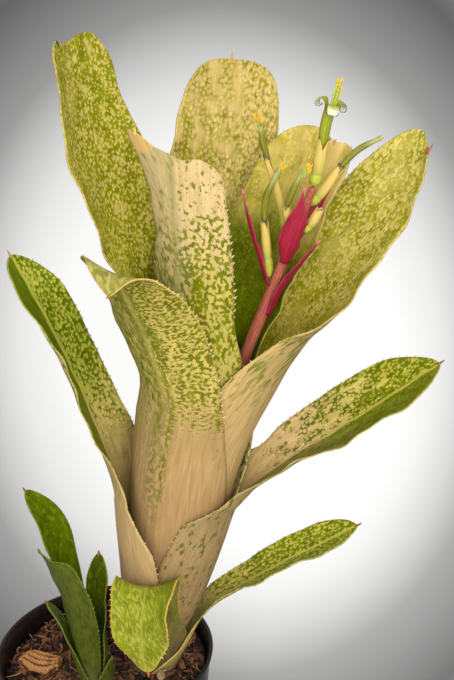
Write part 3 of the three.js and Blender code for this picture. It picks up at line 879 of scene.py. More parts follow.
    def _apex(self) -> tuple[int, np.ndarray]:
        """Row and point of the end where the spine stands.

        Returns:
            Number of the row, and the point.
        """
        margin = 0 if self.shape.spine_at < 0 else -1
        row = np.argmin(np.abs(self.lateral[:, margin] - self.shape.spine_at)
                        + 2 * (self.share <= 0))
        return row, (self.outer[row, margin] + self.inner[row, margin]) / 2

    def _spine(self) -> Shell:
        """The stiff spine at the apex.

        Returns:
            The spine's skin.
        """
        row, end = self._apex()
        direction = self.tangent[row]
        length = self.shape.spine
        path = [end - direction * 2, end + direction * 0.4 * length, end + direction * length]
        spine = tube(path, [0.9, 0.6, 0.15], 8, 10)
        spine.values["to_tip"] = np.full(len(spine.points), -1.0)
        spine.values["along"] = np.ones(len(spine.points))
        return spine

    def margins(self, start: float, end: float) -> list[tuple[np.ndarray, np.ndarray]]:
        """Both margins as lines of points, with the directions in which teeth lean.

        Args:
            start: Distance above the foot where the teeth start.
            end: Distance below the apex where they stop.

        Returns:
            Points and directions of each margin.
        """
        keep = (self.travelled > start) & (self.travelled < self.length - end)
        lines = []
        for column, inside in ((0, 1), (-1, -2)):
            edge = (self.outer[keep, column] + self.inner[keep, column]) / 2
            away = unit(self.outer[keep, column] - self.outer[keep, inside])
            lines.append((edge, unit(away + self.tooth_lean * self.tangent[keep])))
        return lines


class TreeBuilder:
    """Builds one geometry node tree with named inputs."""

    def __init__(self, name: str) -> None:
        """Starts the tree with a geometry input and output.

        Args:
            name: Name of the tree.
        """
        self.tree = bpy.data.node_groups.new(name, "GeometryNodeTree")
        for side in ("INPUT", "OUTPUT"):
            self.tree.interface.new_socket("Geometry", in_out=side,
                                           socket_type="NodeSocketGeometry")
        self.entry = self.tree.nodes.new("NodeGroupInput")
        self.exit = self.tree.nodes.new("NodeGroupOutput")

    def input(self, name: str, kind: str) -> bpy.types.NodeSocket:
        """Adds a named input of a socket kind and returns its socket in the tree."""
        self.tree.interface.new_socket(name, in_out="INPUT", socket_type="NodeSocket" + kind)
        return self.entry.outputs[name]

    def node(self, kind: str, settings: Optional[dict] = None,
             inputs: Optional[dict] = None) -> bpy.types.Node:
        """Adds a node, its settings first, then its values and links.

        Args:
            kind: Node type name.
            settings: Node properties.
            inputs: Values, sockets or nodes, by input name or number.

        Returns:
            The new node.
        """
        made = self.tree.nodes.new(kind)
        for key, value in (settings or {}).items():
            setattr(made, key, value)
        for key, value in (inputs or {}).items():
            if isinstance(value, bpy.types.NodeSocket):
                self.tree.links.new(value, made.inputs[key])
            elif isinstance(value, bpy.types.Node):
                self.tree.links.new(value.outputs[0], made.inputs[key])
            else:
                made.inputs[key].default_value = value
        return made

    def end(self, last: bpy.types.Node) -> bpy.types.NodeTree:
        """Links the last node to the tree's output."""
        self.tree.links.new(last.outputs[0], self.exit.inputs[0])
        return self.tree


def run_tree(carrier: bpy.types.Object, tree: bpy.types.NodeTree, inputs: dict,
             name: str) -> bpy.types.Object:
    """Runs a geometry node tree on an object and makes its result a plain mesh object.

    Args:
        carrier: Object that takes the modifier; it is removed.
        tree: Tree to run.
        inputs: Values of the tree's named inputs.
        name: Name of the finished object.

    Returns:
        The new object.
    """
    modifier = carrier.modifiers.new(tree.name, "NODES")
    modifier.node_group = tree
    for item in tree.interface.items_tree:
        if item.item_type == "SOCKET" and item.in_out == "INPUT" and item.name in inputs:
            modifier[item.identifier] = inputs[item.name]
    graph = bpy.context.evaluated_depsgraph_get()
    mesh = bpy.data.meshes.new_from_object(carrier.evaluated_get(graph),
                                           preserve_all_data_layers=True, depsgraph=graph)
    carrier.modifiers.remove(modifier)
    bpy.data.objects.remove(carrier)
    mesh.name = name
    return add_object(name, mesh)


@dataclass(frozen=True)
class MarginTeeth:
    """Small curved spines along both margins of a leaf.

    Attributes:
        spacing: Distance between teeth.
        length: Length of a tooth.
        start: Distance above the foot where they start.
        end: Distance below the apex where they stop.
    """

    spacing: float = 4.6
    length: float = 1.5
    start: float = 60.0
    end: float = 8.0

    def tree(self) -> bpy.types.NodeTree:
        """Tree that sets teeth on margin lines and joins them to the leaf.

        Returns:
            The tree, built once.
        """
        found = bpy.data.node_groups.get("Margin teeth")
        if found:
            return found
        build = TreeBuilder("Margin teeth")
        margins = build.input("Margins", "Object")
        spacing = build.input("Spacing", "Float")
        length = build.input("Tooth length", "Float")
        seed = build.input("Seed", "Int")
        material = build.input("Tooth material", "Material")
        lines = build.node("GeometryNodeObjectInfo", {}, {"Object": margins})
        curve = build.node("GeometryNodeMeshToCurve", {},
                           {"Mesh": lines.outputs["Geometry"]})
        points = build.node("GeometryNodeResampleCurve", {"mode": "LENGTH"},
                            {"Curve": curve, "Length": spacing})
        thorn = build.node("GeometryNodeMeshCone", {},
                           {"Vertices": 5, "Radius Bottom": 0.3, "Radius Top": 0.02, "Depth": 1.0})
        away = build.node("GeometryNodeInputNamedAttribute", {"data_type": "FLOAT_VECTOR"},
                          {"Name": "away"})
        turn = build.node("FunctionNodeAlignRotationToVector", {"axis": "Z"}, {"Vector": away})
        vary = build.node("FunctionNodeRandomValue", {"data_type": "FLOAT"},
                          {2: 0.45, 3: 1.15, "Seed": seed})
        scale = build.node("ShaderNodeMath", {"operation": "MULTIPLY"},
                           {0: vary.outputs[1], 1: length})
        teeth = build.node("GeometryNodeInstanceOnPoints", {},
                           {"Points": points, "Instance": thorn, "Rotation": turn,
                            "Scale": scale})
        loose = build.node("GeometryNodeRealizeInstances", {}, {"Geometry": teeth})
        marked = build.node("GeometryNodeStoreNamedAttribute",
                            {"data_type": "BOOLEAN", "domain": "FACE"},
                            {"Geometry": loose, "Name": "tooth", "Value": True})
        join = build.node("GeometryNodeJoinGeometry")
        build.tree.links.new(marked.outputs[0], join.inputs[0])
        build.tree.links.new(build.entry.outputs["Geometry"], join.inputs[0])
        real = build.node("GeometryNodeRealizeInstances", {}, {"Geometry": join})
        is_tooth = build.node("GeometryNodeInputNamedAttribute", {"data_type": "BOOLEAN"},
                              {"Name": "tooth"})
        dressed = build.node("GeometryNodeSetMaterial", {},
                             {"Geometry": real, "Selection": is_tooth, "Material": material})
        return build.end(dressed)

    def grow(self, leaf: bpy.types.Object, surface: LeafSurface, place: Matrix,
             material: bpy.types.Material, seed: int) -> bpy.types.Object:
        """Adds teeth to a leaf's margins and returns the new leaf object.

        Args:
            leaf: Leaf object; it is replaced.
            surface: Surface of the leaf.
            place: Place of the whorl's frame, in millimetres.
            material: Material of the teeth.
            seed: Seed of their sizes.

        Returns:
            The leaf with its teeth.
        """
        lines = margin_lines(surface.margins(self.start, self.end), place)
        name = leaf.name
        leaf.name = "bare_" + name
        result = run_tree(leaf, self.tree(), {
            "Margins": lines, "Spacing": self.spacing * MM, "Tooth length": self.length * MM,
            "Seed": seed, "Tooth material": material}, name)
        bpy.data.objects.remove(lines)
        return result


def margin_lines(lines: Sequence[tuple[np.ndarray, np.ndarray]],
                 place: Matrix) -> bpy.types.Object:
    """Mesh of open lines in metres that carries the direction of its teeth.

    Args:
        lines: Points and directions of each line, in the leaf's frame.
        place: Place of that frame in millimetres.

    Returns:
        The mesh object that holds the lines.
    """
    turn = np.array(place)
    points, edges, away = [], [], []
    for line, directions in lines:
        start = len(points)
        points += ((line @ turn[:3, :3].T + turn[:3, 3]) * MM).tolist()
        away += (directions @ turn[:3, :3].T).tolist()
        edges += [(start + i, start + i + 1) for i in range(len(line) - 1)]
    mesh = bpy.data.meshes.new("margins")
    mesh.from_pydata(points, edges, [])
    attribute = mesh.attributes.new("away", "FLOAT_VECTOR", "POINT")
    attribute.data.foreach_set("vector", np.array(away, np.float32).ravel())
    return add_object("margins", mesh)


# Finishes

class Fleck(Enum):
    """Forms of fleck."""

    BLOTCH = "blotch"
    DOT = "dot"


@dataclass(frozen=True)
class Flecks:
    """Pale flecks on a leaf face.

    Attributes:
        cover: Rows of millimetres above the sheath's end, and the share covered there.
        size: Distance between flecks.
        stretch: Their length over their width.
        turn: Slant from lengthwise, in degrees.
        kind: Irregular blotches or round dots.
        side: Places across between which they set in, or none for the whole face.
        patchy: How unevenly they are spread, from 0 to 1.
        soft: Softness of their edges.
        strength: How strongly they show.
        uneven: How much round dots differ in size and strength, from 0 to 1.
    """

    cover: Sequence[tuple[float, float]]
    size: float = 2.6
    stretch: float = 1.5
    turn: float = 0.0
    kind: Fleck = Fleck.BLOTCH
    side: Sequence[float] = ()
    patchy: float = 0.5
    soft: float = 0.05
    strength: float = 0.9
    uneven: float = 0.6

    spread = 0.088
    patch_grain = (0.11, 0.07, 1)
    wander_grain = 1.3
    wander = 0.75

    def level(self, share: float) -> float:
        """Noise level, or radius of round dots, at which they cover a share of the face.

        Args:
            share: Share of the face, from 0 to 1.

        Returns:
            The level or radius.
        """
        share = min(max(share, 0.0004), 0.9998)
        if self.kind is Fleck.DOT:
            return math.sqrt(-math.log(1 - share) / math.pi)
        return 0.5 + self.spread * NormalDist().inv_cdf(share)

    def mask(self, weave: Weave, uv: Wire, rise: Wire, across: Wire) -> Wire:
        """How pale the face is because of these flecks, from 0 to 1.

        Args:
            weave: Material that is being built.
            uv: Surface coordinates, in millimetres.
            rise: Height on the common scale.
            across: Place across, from -1 to 1.

        Returns:
            The paleness.
        """
        grain = (1 / self.size, 1 / (self.size * self.stretch), 1)
        shift = (3.1 * self.size, 7.7 * self.stretch, 0)
        stops = [(RISE.share(height), (self.level(share),) * 3) for height, share in self.cover]
        level = weave.add("ShaderNodeValToRGB", {"stops": stops}, [rise])
        patch = weave.plain_noise(uv, self.patch_grain, 2)
        if self.kind is Fleck.DOT:
            field = weave.stretch(uv, grain, self.turn, shift)
            wander = weave.add("ShaderNodeTexNoise", {"noise_dimensions": "2D"},
                               {"Vector": field, "Scale": self.wander_grain, "Detail": 2.0},
                               "Color")
            wander = weave.add("ShaderNodeVectorMath", {"operation": "SCALE"},
                               {0: wander, "Scale": self.wander})
            field = weave.add("ShaderNodeVectorMath", {"operation": "ADD"}, [field, wander])
            value = weave.add("ShaderNodeTexVoronoi", {"voronoi_dimensions": "2D"},
                              {"Vector": field, "Scale": 1.0}, "Distance")
            chances = Wire(weave, value.value.node.outputs["Color"])
            chance = weave.axis(chances, "X") - 0.5
            reach = level * (1 + self.uneven * chance + 2.4 * self.patchy * (patch - 0.5))
            soft = self.soft * 3
            strength = self.strength + 0.5 * self.uneven * (weave.axis(chances, "Y") - 0.5)
        else:
            value = weave.plain_noise(uv, grain, 2, self.turn, shift)
            reach = level + 0.55 * self.patchy * (patch - 0.5)
            soft = self.soft
            strength = self.strength
        found = value.ramp(reach + soft, reach - soft) * strength
        return found * across.ramp(*self.side) if self.side else found


@dataclass(frozen=True)
class HeightScale:
    """Scale on which heights above a sheath's end are laid out for a ramp.

    Attributes:
        low: Height at the scale's start.
        high: Height at its end.
    """

    low: float = -320.0
    high: float = 200.0

    def share(self, height: float) -> float:
        """Place of a height on the scale, from 0 to 1."""
        return (height - self.low) / (self.high - self.low)

    def wire(self, above: Wire) -> Wire:
        """Place on the scale of the surface."""
        return (above - self.low) / (self.high - self.low)


RISE = HeightScale()
# Factors that every leaf colour is multiplied by, on the blade and, darker, on the sheath.
BLADE_TONE = (0.84, 0.82, 0.74)
SHEATH_TONE = (0.7, 0.64, 0.59)


@dataclass(frozen=True)
class LeafFace:
    """Colouring of one face of a leaf.

    Attributes:
        deep: Ground colour low on the blade.
        light: Ground colour at the tip.
        pale: Colour of the flecks low on the blade, and of the sheath.
        pale_tip: Colour of the flecks at the tip.
        layers: Layers of flecks.
        turn_over: Heights above the sheath's end where the ground turns to its tip colour.
        stripe: Half width, softness and strength of the pale midstripe, or none.
        left: Share of flecks kept on the left half.
        right: Share of flecks kept on the right half.
        column: Heights between which dark flecks run out down the middle.
        bloom: Colour of the mealy bloom.
        bloom_left: Strength of the bloom on the left half.
        bloom_right: Strength of the bloom on the right half.
        plain: Heights where the face is wholly pale, and where that has ended.
    """

    deep: Colour
    light: Colour
    pale: Colour
    pale_tip: Colour
    layers: Sequence[Flecks] = ()
    turn_over: tuple[float, float] = (0.0, 120.0)
    stripe: Sequence[float] = ()
    left: float = 1.0
    right: float = 1.0
    column: Sequence[float] = ()
    bloom: Colour = (0.3, 0.31, 0.24)
    bloom_left: float = 0.0
    bloom_right: float = 0.0
    plain: tuple[float, float] = (-60.0, -20.0)

    def colour(self, weave: Weave, uv: Wire, above: Wire, across: Wire) -> Wire:
        """Colour of the face.

        Args:
            weave: Material that is being built.
            uv: Surface coordinates, in millimetres.
            above: Height above the sheath's end.
            across: Place across, from -1 to 1.

        Returns:
            The colour.
        """
        drift = weave.plain_noise(uv, (0.05, 0.02, 1), 2)
        turned = (above + 70 * (drift - 0.5)).ramp(*self.turn_over)
        ground = weave.blend(turned, self.deep, self.light)
        tone = weave.plain_noise(uv, (0.2, 0.12, 1), 3, turn=12)
        ground = weave.times(ground, weave.grey(tone, 0.35, 0.65, 0.78, 1.14))
        pale = weave.blend(turned, self.pale, self.pale_tip)
        tint = weave.plain_noise(uv, (0.45, 0.04, 1), 3)
        pale = weave.times(pale, weave.grey(tint, 0.3, 0.7, 0.84, 1.08))
        cover = self._cover(weave, uv, above, across)
        colour = weave.blend(cover, ground, pale)
        if self.bloom_left or self.bloom_right:
            scurf = weave.plain_noise(uv, (0.8, 0.25, 1), 4, turn=-14)
            side = across.ramp(-0.25, 0.2)
            amount = self.bloom_left + (self.bloom_right - self.bloom_left) * side
            colour = weave.blend(amount * scurf.ramp(0.3, 0.62), colour, self.bloom)
        return colour

    def _cover(self, weave: Weave, uv: Wire, above: Wire, across: Wire) -> Wire:
        """How pale the face is, from 0 to 1.

        Args:
            weave: Material that is being built.
            uv: Surface coordinates, in millimetres.
            above: Height above the sheath's end.
            across: Place across, from -1 to 1.

        Returns:
            The paleness.
        """
        rise = RISE.wire(above)
        cover = Wire(weave, 0.0)
        for layer in self.layers:
            cover = layer.mask(weave, uv, rise, across).most(cover)
        fringe = weave.plain_noise(uv, (0.3, 0.1, 1), 3, turn=16) - 0.5
        cover = cover.most((above + 70 * fringe).ramp(self.plain[1], self.plain[0]))
        if self.left < 1 or self.right < 1:
            side = across.ramp(-0.1, 0.1)
            cover = cover * (self.left + (self.right - self.left) * side)
        middle = weave.axis(uv, "X")
        if self.column:
            spots = weave.plain_noise(uv, (0.42, 0.26, 1), 2, turn=8)
            width = middle.size().ramp(8.5, 3.0) * above.ramp(*self.column)
            cover = cover * (1 - spots.ramp(0.53, 0.49) * width)
        if self.stripe:
            wobble = weave.plain_noise(uv, (0.01, 0.04, 1), 2)
            distance = (middle + 5 * (wobble - 0.5)).size()
            half, soft, strength = self.stripe
            cover = (strength * distance.ramp(half + soft, half - soft)).most(cover)
        return cover


@dataclass(frozen=True)
class LeafFinish:
    """Finish of a leaf: both faces, margin, dull foot and dry tip.

    Attributes:
        name: Name of the material.
        outer: Face away from the tube.
        inner: Face towards the tube.
        margin: Colour of the margin.
        margin_width: Width of the coloured margin.
        margin_strength: How strongly its colour shows on the blade.
        foot: Dull colour of the sheath's foot.
        foot_end: Distances from the foot between which that colour fades.
        tip: Colour of the dry tip.
        tip_length: Length of the dry tip.
        tooth: Colour of the teeth.
    """

    name: str
    outer: LeafFace
    inner: LeafFace
    margin: Colour = (0.6, 0.5, 0.22)
    margin_width: float = 0.3
    margin_strength: float = 0.25
    foot: Colour = (0.27, 0.21, 0.14)
    foot_end: tuple[float, float] = (20.0, 62.0)
    tip: Colour = (0.2, 0.1, 0.04)
    tip_length: float = 0.0
    tooth: Colour = (0.52, 0.42, 0.22)

    def material(self) -> bpy.types.Material:
        """Material of the leaf.

        Returns:
            The finished material.
        """
        weave = Weave(self.name)
        uv = weave.uv()
        above = weave.attribute("above")
        across = weave.attribute("across")
        inner = weave.attribute("inner").ramp(0.4, 0.6)
        colour = weave.blend(inner, self.outer.colour(weave, uv, above, across),
                             self.inner.colour(weave, uv, above, across))
        lines = weave.noise(uv, (2.2, 0.03, 1), 4, 0.6)
        veins = weave.grey(lines, 0.3, 0.7, 0.86, 1.08)
        colour = weave.times(colour, veins)
        colour = self._dulled(weave, uv, lines, colour)
        ragged = weave.noise(uv, (0.6, 0.3, 1), 3) - 0.5
        edge = weave.attribute("edge") + ragged
        rim = edge.ramp(self.margin_width + 0.4, self.margin_width - 0.3)
        rim = rim * (0.1 + self.margin_strength * above.ramp(-10, 30))
        colour = weave.blend(rim, colour, self.margin)
        tone = weave.blend(above.ramp(-120, 20), SHEATH_TONE, BLADE_TONE)
        colour = weave.times(colour, tone)
        to_tip = weave.attribute("to_tip") + 4 * ragged
        dry = to_tip.ramp(self.tip_length + 1.2, self.tip_length - 0.8)
        crisp = weave.blend(lines.ramp(0.35, 0.6), tuple(0.66 * c for c in self.tip), self.tip)
        colour = weave.blend(dry, colour, crisp)
        scurf = weave.noise(uv, (0.9, 0.5, 1), 5, 0.7)
        rough = 0.4 + 0.16 * (1 - inner) + 0.28 * (scurf - 0.5) + 0.2 * dry
        swell = weave.plain_noise(uv, (0.09, 0.03, 1), 2)
        height = lines * 0.8 + scurf * 0.15 + swell * 1.6
        return weave.surface(Base_Color=colour, Roughness=rough,
                             Normal=weave.bump(height, 0.0008, 0.5), Specular_IOR_Level=0.1,
                             Specular_Tint=(1.0, 1.0, 0.4))

    def _dulled(self, weave: Weave, uv: Wire, lines: Wire, colour: Wire) -> Wire:
        """Fades the sheath's foot into a dull tan with streaks.

        Args:
            weave: Material that is being built.
            uv: Surface coordinates, in millimetres.
            lines: Fine lengthwise lines.
            colour: Colour so far.

        Returns:
            The dulled colour.
        """
        travelled = weave.axis(uv, "Y")
        patch = weave.noise(uv, (0.16, 0.03, 1), 4)
        low, high = self.foot_end
        mask = (travelled + 46 * (patch - 0.5)).ramp(high, low)
        dark = tuple(0.6 * c for c in self.foot)
        return weave.blend(0.9 * mask, colour, weave.blend(lines.ramp(0.35, 0.6), dark, self.foot))

    def tooth_material(self) -> bpy.types.Material:
        """Material of the teeth.

        Returns:
            The finished material.
        """
        weave = Weave(self.name + " teeth")
        grain = weave.noise(weave.place(), (900, 900, 900), 2)
        brown = tuple(0.75 * c for c in self.tooth)
        colour = weave.blend(grain.ramp(0.35, 0.7), brown, self.tooth)
        return weave.surface(Base_Color=colour, Roughness=0.4 + 0.2 * grain)


def shade(red: int, green: int, blue: int) -> Colour:
    """Linear colour from the values that a screen shows.

    Args:
        red: Red, from 0 to 255.
        green: Green, from 0 to 255.
        blue: Blue, from 0 to 255.

    Returns:
        The linear colour.
    """
    def linear(value: float) -> float:
        """Linear value of one channel."""
        return value / 12.92 if value <= 0.04045 else ((value + 0.055) / 1.055) ** 2.4
    return linear(red / 255), linear(green / 255), linear(blue / 255)


# Rosette

ROSETTE = Whorl(
    foot=(26, 0, 104), lean=13, stem_radius=5.5, thickness=0.85, pitch=1.6,
    tube=((-30, 7), (0, 14.3), (25, 20.5), (50, 26.6), (75, 31), (100, 34.5), (125, 37.5),
          (150, 39.5), (175, 41), (200, 42.5), (225, 44)))
PUP = Whorl(
    foot=(-4, -26, 104), lean=-2, stem_radius=2.2, thickness=0.8, pitch=1.3,
    tube=((-14, 3.6), (0, 8.6), (20, 10.8), (40, 12), (60, 12.6)))
CREAM = shade(196, 166, 112)


@dataclass(frozen=True)
class Leaf:
    """One leaf.

    Attributes:
        name: Node that it stands for.
        shape: Its form.
        finish: Finish of its faces and margin.
        teeth: Teeth along its margins.
    """

    name: str
    shape: LeafShape
    finish: LeafFinish
    teeth: MarginTeeth = MarginTeeth()


def hidden_face(flecks: Flecks) -> LeafFace:
    """Outer face of a leaf that is only seen from behind: olive with cream flecks.

    Args:
        flecks: Flecks of the inner face.

    Returns:
        The face.
    """
    layers = (replace(flecks, cover=((-60, 1), (-30, 0.8), (0, 0.55), (100, 0.45))),)
    return LeafFace(shade(112, 118, 40), shade(116, 124, 38), CREAM, shade(204, 184, 110), layers,
                    bloom_left=0.2, bloom_right=0.2)


def leaf_low_right() -> Leaf:
    """Short leaf low on the right.

    Returns:
        The leaf.
    """
    shape = LeafShape(
        azimuth=-5, layer=0, wraps=(150, 100, 40), tip=24, keel=0.12,
        mouth=((27.6, 50, 27, 28),),
        blade=((40, 64, 0, 13, 36, 2), (56, 80, 0, 13.5, 34, 6), (79, 101, 0, 14, 30, 12),
               (103, 122, 0, 10, 20, 14)))
    flecks = Flecks(((0, 0.6), (20, 0.45), (40, 0.32), (80, 0.26)), size=1.7, stretch=1.5,
                    kind=Fleck.DOT, soft=0.09, strength=0.8)
    face = LeafFace(shade(108, 114, 8), shade(102, 116, 2), shade(206, 186, 108),
                    shade(204, 196, 92), (flecks,), turn_over=(-10, 60),
                    stripe=(0.8, 0.6, 0.8), plain=(-20, 12))
    return Leaf("leaf_low_right", shape,
                LeafFinish("Low right leaf", face, face, margin=shade(176, 176, 96),
                           foot=shade(108, 88, 60)), MarginTeeth(start=70))


def leaf_front_drooping() -> Leaf:
    """Short leaf that hangs over in front.

    Returns:
        The leaf.
    """
    shape = LeafShape(
        azimuth=-108, layer=1, wraps=(150, 120, 90, 46), tip=30, blunt=(2.0, 2.6),
        blade=((33, 71, 0, 17, 30, 4), (41, 85, -1, 20, 36, 20), (51, 79, 1.5, 20, 28, 21),
               (58, 62, 5, 18, 14, 14), (62, 45, 12, 10, 6, 6)),
        ruffle=((1.6, 34, 0.2), (0.6, 15, 2)))
    flecks = Flecks(((-20, 0.6), (10, 0.26), (40, 0.26), (90, 0.3)), size=1.3, stretch=2.4,
                    turn=24, patchy=0.9, strength=0.5, soft=0.09)
    inner = LeafFace(shade(122, 133, 22), shade(124, 132, 26), shade(182, 178, 84),
                     shade(190, 184, 92), (flecks,), stripe=(0.6, 0.8, 0.5))
    outer = LeafFace(shade(120, 116, 50), shade(120, 122, 40), shade(150, 130, 92),
                     shade(176, 160, 90), (flecks,))
    return Leaf("leaf_front_drooping", shape,
                LeafFinish("Drooping leaf", outer, inner, margin=shade(212, 176, 76),
                           margin_width=0.7, margin_strength=0.45, foot=shade(118, 98, 72),
                           foot_end=(40, 84), tip=shade(172, 104, 56), tip_length=0.5,
                           tooth=shade(216, 176, 88)),
                MarginTeeth(start=84, spacing=3.0, length=1.3))


def leaf_left() -> Leaf:
    """Long channelled leaf that reaches out to the left.

    Returns:
        The leaf.
    """
    shape = LeafShape(
        azimuth=168, layer=2, wraps=(150, 140, 124, 106), tip=28, keel=0.1,
        mouth=((28.5, 75, 28.5, 92), (34, 100, 34, 80), (39, 125, 38.5, 50)),
        blade=((51, 152, 3, 23, 46, -6), (72, 190, 4, 20.5, 42, -12), (94, 227, 8.5, 19, 38, -14),
               (114, 251, 4, 13, 30, -12)),
        ruffle=((2.6, 96, 3.0), (0.6, 22, 1.0)))
    flecks = Flecks(((-10, 0.9), (30, 0.75), (50, 0.5), (80, 0.42), (150, 0.34)), size=1.8,
                    stretch=1.4, kind=Fleck.DOT, patchy=0.7, soft=0.08, strength=0.85)
    inner = LeafFace(shade(108, 118, 2), shade(92, 110, 1), shade(214, 188, 122),
                     shade(186, 186, 76), (flecks,), turn_over=(20, 90),
                     stripe=(1.2, 0.7, 0.9), right=0.1, plain=(2, 44))
    outer = replace(hidden_face(flecks), pale=shade(206, 174, 124), turn_over=(60, 120),
                    plain=(-10, 40), bloom_left=0.0, bloom_right=0.0)
    return Leaf("leaf_left", shape,
                LeafFinish("Left leaf", outer, inner, margin=shade(190, 184, 88),
                           foot=shade(150, 122, 84), tip_length=1.5, tip=shade(150, 128, 70)))


def leaf_right() -> Leaf:
    """Long leaf that reaches out to the right.

    Returns:
        The leaf.
    """
    shape = LeafShape(
        azimuth=-3, layer=3, wraps=(150, 140, 126, 116, 108, 98, 84), tip=34, keel=0.1,
        mouth=((39, 137, 33.5, 62),),
        blade=((46, 145, 0, 20, 42, 2), (63, 164, 0, 22.5, 40, 8), (84, 185, 0, 23, 36, 16),
               (108, 211, 0, 21, 32, 20), (128, 231, 2, 14, 24, 18)))
    flecks = Flecks(((0, 0.75), (30, 0.52), (50, 0.36), (80, 0.25), (150, 0.22)), size=1.7,
                    stretch=1.4, kind=Fleck.DOT, patchy=0.9, soft=0.08, strength=0.9)
    blotches = Flecks(((0, 0.8), (30, 0.5), (60, 0.3), (90, 0.06)), size=4.0, stretch=1.8,
                      soft=0.05)
    inner = LeafFace(shade(92, 102, 2), shade(98, 110, 2), shade(216, 186, 132),
                     shade(190, 181, 76), (flecks, blotches), turn_over=(30, 100),
                     stripe=(0.8, 0.6, 0.85), left=0.28, plain=(0, 36))
    dots = Flecks(((-60, 0.97), (-10, 0.92), (30, 0.75), (120, 0.5)), size=2.6, stretch=1.8,
                  patchy=0.8)
    outer = LeafFace(shade(108, 108, 40), shade(100, 112, 30), shade(178, 150, 108),
                     shade(190, 172, 96), (dots,), plain=(-260, -240))
    return Leaf("leaf_right", shape,
                LeafFinish("Right leaf", outer, inner, margin=shade(196, 176, 96),
                           foot=shade(112, 90, 60), foot_end=(20, 76), tip_length=0.5),
                MarginTeeth(start=120))


def leaf_back() -> Leaf:
    """Leaf hidden behind the others.

    Returns:
        The leaf.
    """
    shape = LeafShape(
        azimuth=66, layer=4, wraps=(150, 140, 126, 112, 100, 88, 72), tip=40, keel=0.05,
        mouth=((38, 150, 36, 54),),
        blade=((50, 180, 0, 24, 40, 0), (66, 212, 0, 25, 34, 0), (86, 240, 0, 23, 28, 0),
               (106, 260, 0, 17, 20, 0)))
    flecks = Flecks(((-20, 0.9), (20, 0.5), (120, 0.4)), size=2.4)
    inner = LeafFace(shade(84, 106, 36), shade(104, 130, 40), shade(214, 198, 140),
                     shade(206, 196, 120), (flecks,))
    return Leaf("leaf_back", shape,
                LeafFinish("Back leaf", hidden_face(flecks), inner, margin=shade(206, 186, 116),
                           foot=shade(158, 136, 104)), MarginTeeth(start=120))


def leaf_front_left() -> Leaf:
    """Broad front leaf whose end bends outwards and shows its inner face.

    Returns:
        The leaf.
    """
    shape = LeafShape(
        azimuth=-126, layer=5, wraps=(150, 130, 118, 106, 96, 90, 80, 66, 54), tip=26,
        blade=((40, 230, -12, 34, 46, 0), (50, 254, -21, 33, 36, 0), (60, 271, -28, 28, 26, 0),
               (68, 278, -30, 21, 14, 0), (81, 274, -31, 15, 4, 0)),
        ruffle=((1.4, 52, 0.9), (0.5, 21, 2.1)), blunt=(1.5, 1.5), spine=2,
        end=((-1, 0, 0, 14), (0, 0, 0, 16), (1, 0, 0, 18)))
    cover = ((-38, 0.995), (-16, 0.97), (-8, 0.82), (4, 0.58), (30, 0.48), (100, 0.42))
    crosswise = Flecks(cover, size=2.8, stretch=0.5, turn=-8, side=(-0.25, 0.0), patchy=0.5,
                       soft=0.07)
    lengthwise = Flecks(cover, size=1.9, stretch=2.6, turn=-24, side=(0.0, -0.25),
                        patchy=0.5, soft=0.07, strength=0.85)
    outer = LeafFace(shade(122, 122, 30), shade(112, 116, 20), shade(188, 155, 108),
                     shade(206, 184, 104), (crosswise, lengthwise), turn_over=(-24, 30),
                     stripe=(2.2, 2.0, 0.5), column=(-100, -40), bloom=shade(108, 116, 70),
                     bloom_left=0.3, plain=(-40, -8))
    spots = Flecks(((0, 0.5), (60, 0.4)), size=3.0, patchy=0.6, soft=0.12, strength=0.6)
    inner = LeafFace(shade(120, 130, 54), shade(150, 144, 66), shade(206, 190, 120),
                     shade(206, 190, 116), (spots,))
    return Leaf("leaf_front_left", shape,
                LeafFinish("Front leaf", outer, inner, margin=shade(222, 180, 110),
                           margin_strength=0.6, foot=shade(150, 122, 84), foot_end=(24, 74),
                           tip=shade(150, 110, 62), tooth=shade(226, 196, 130)),
                MarginTeeth(start=190, end=24, spacing=3.8, length=1.8))


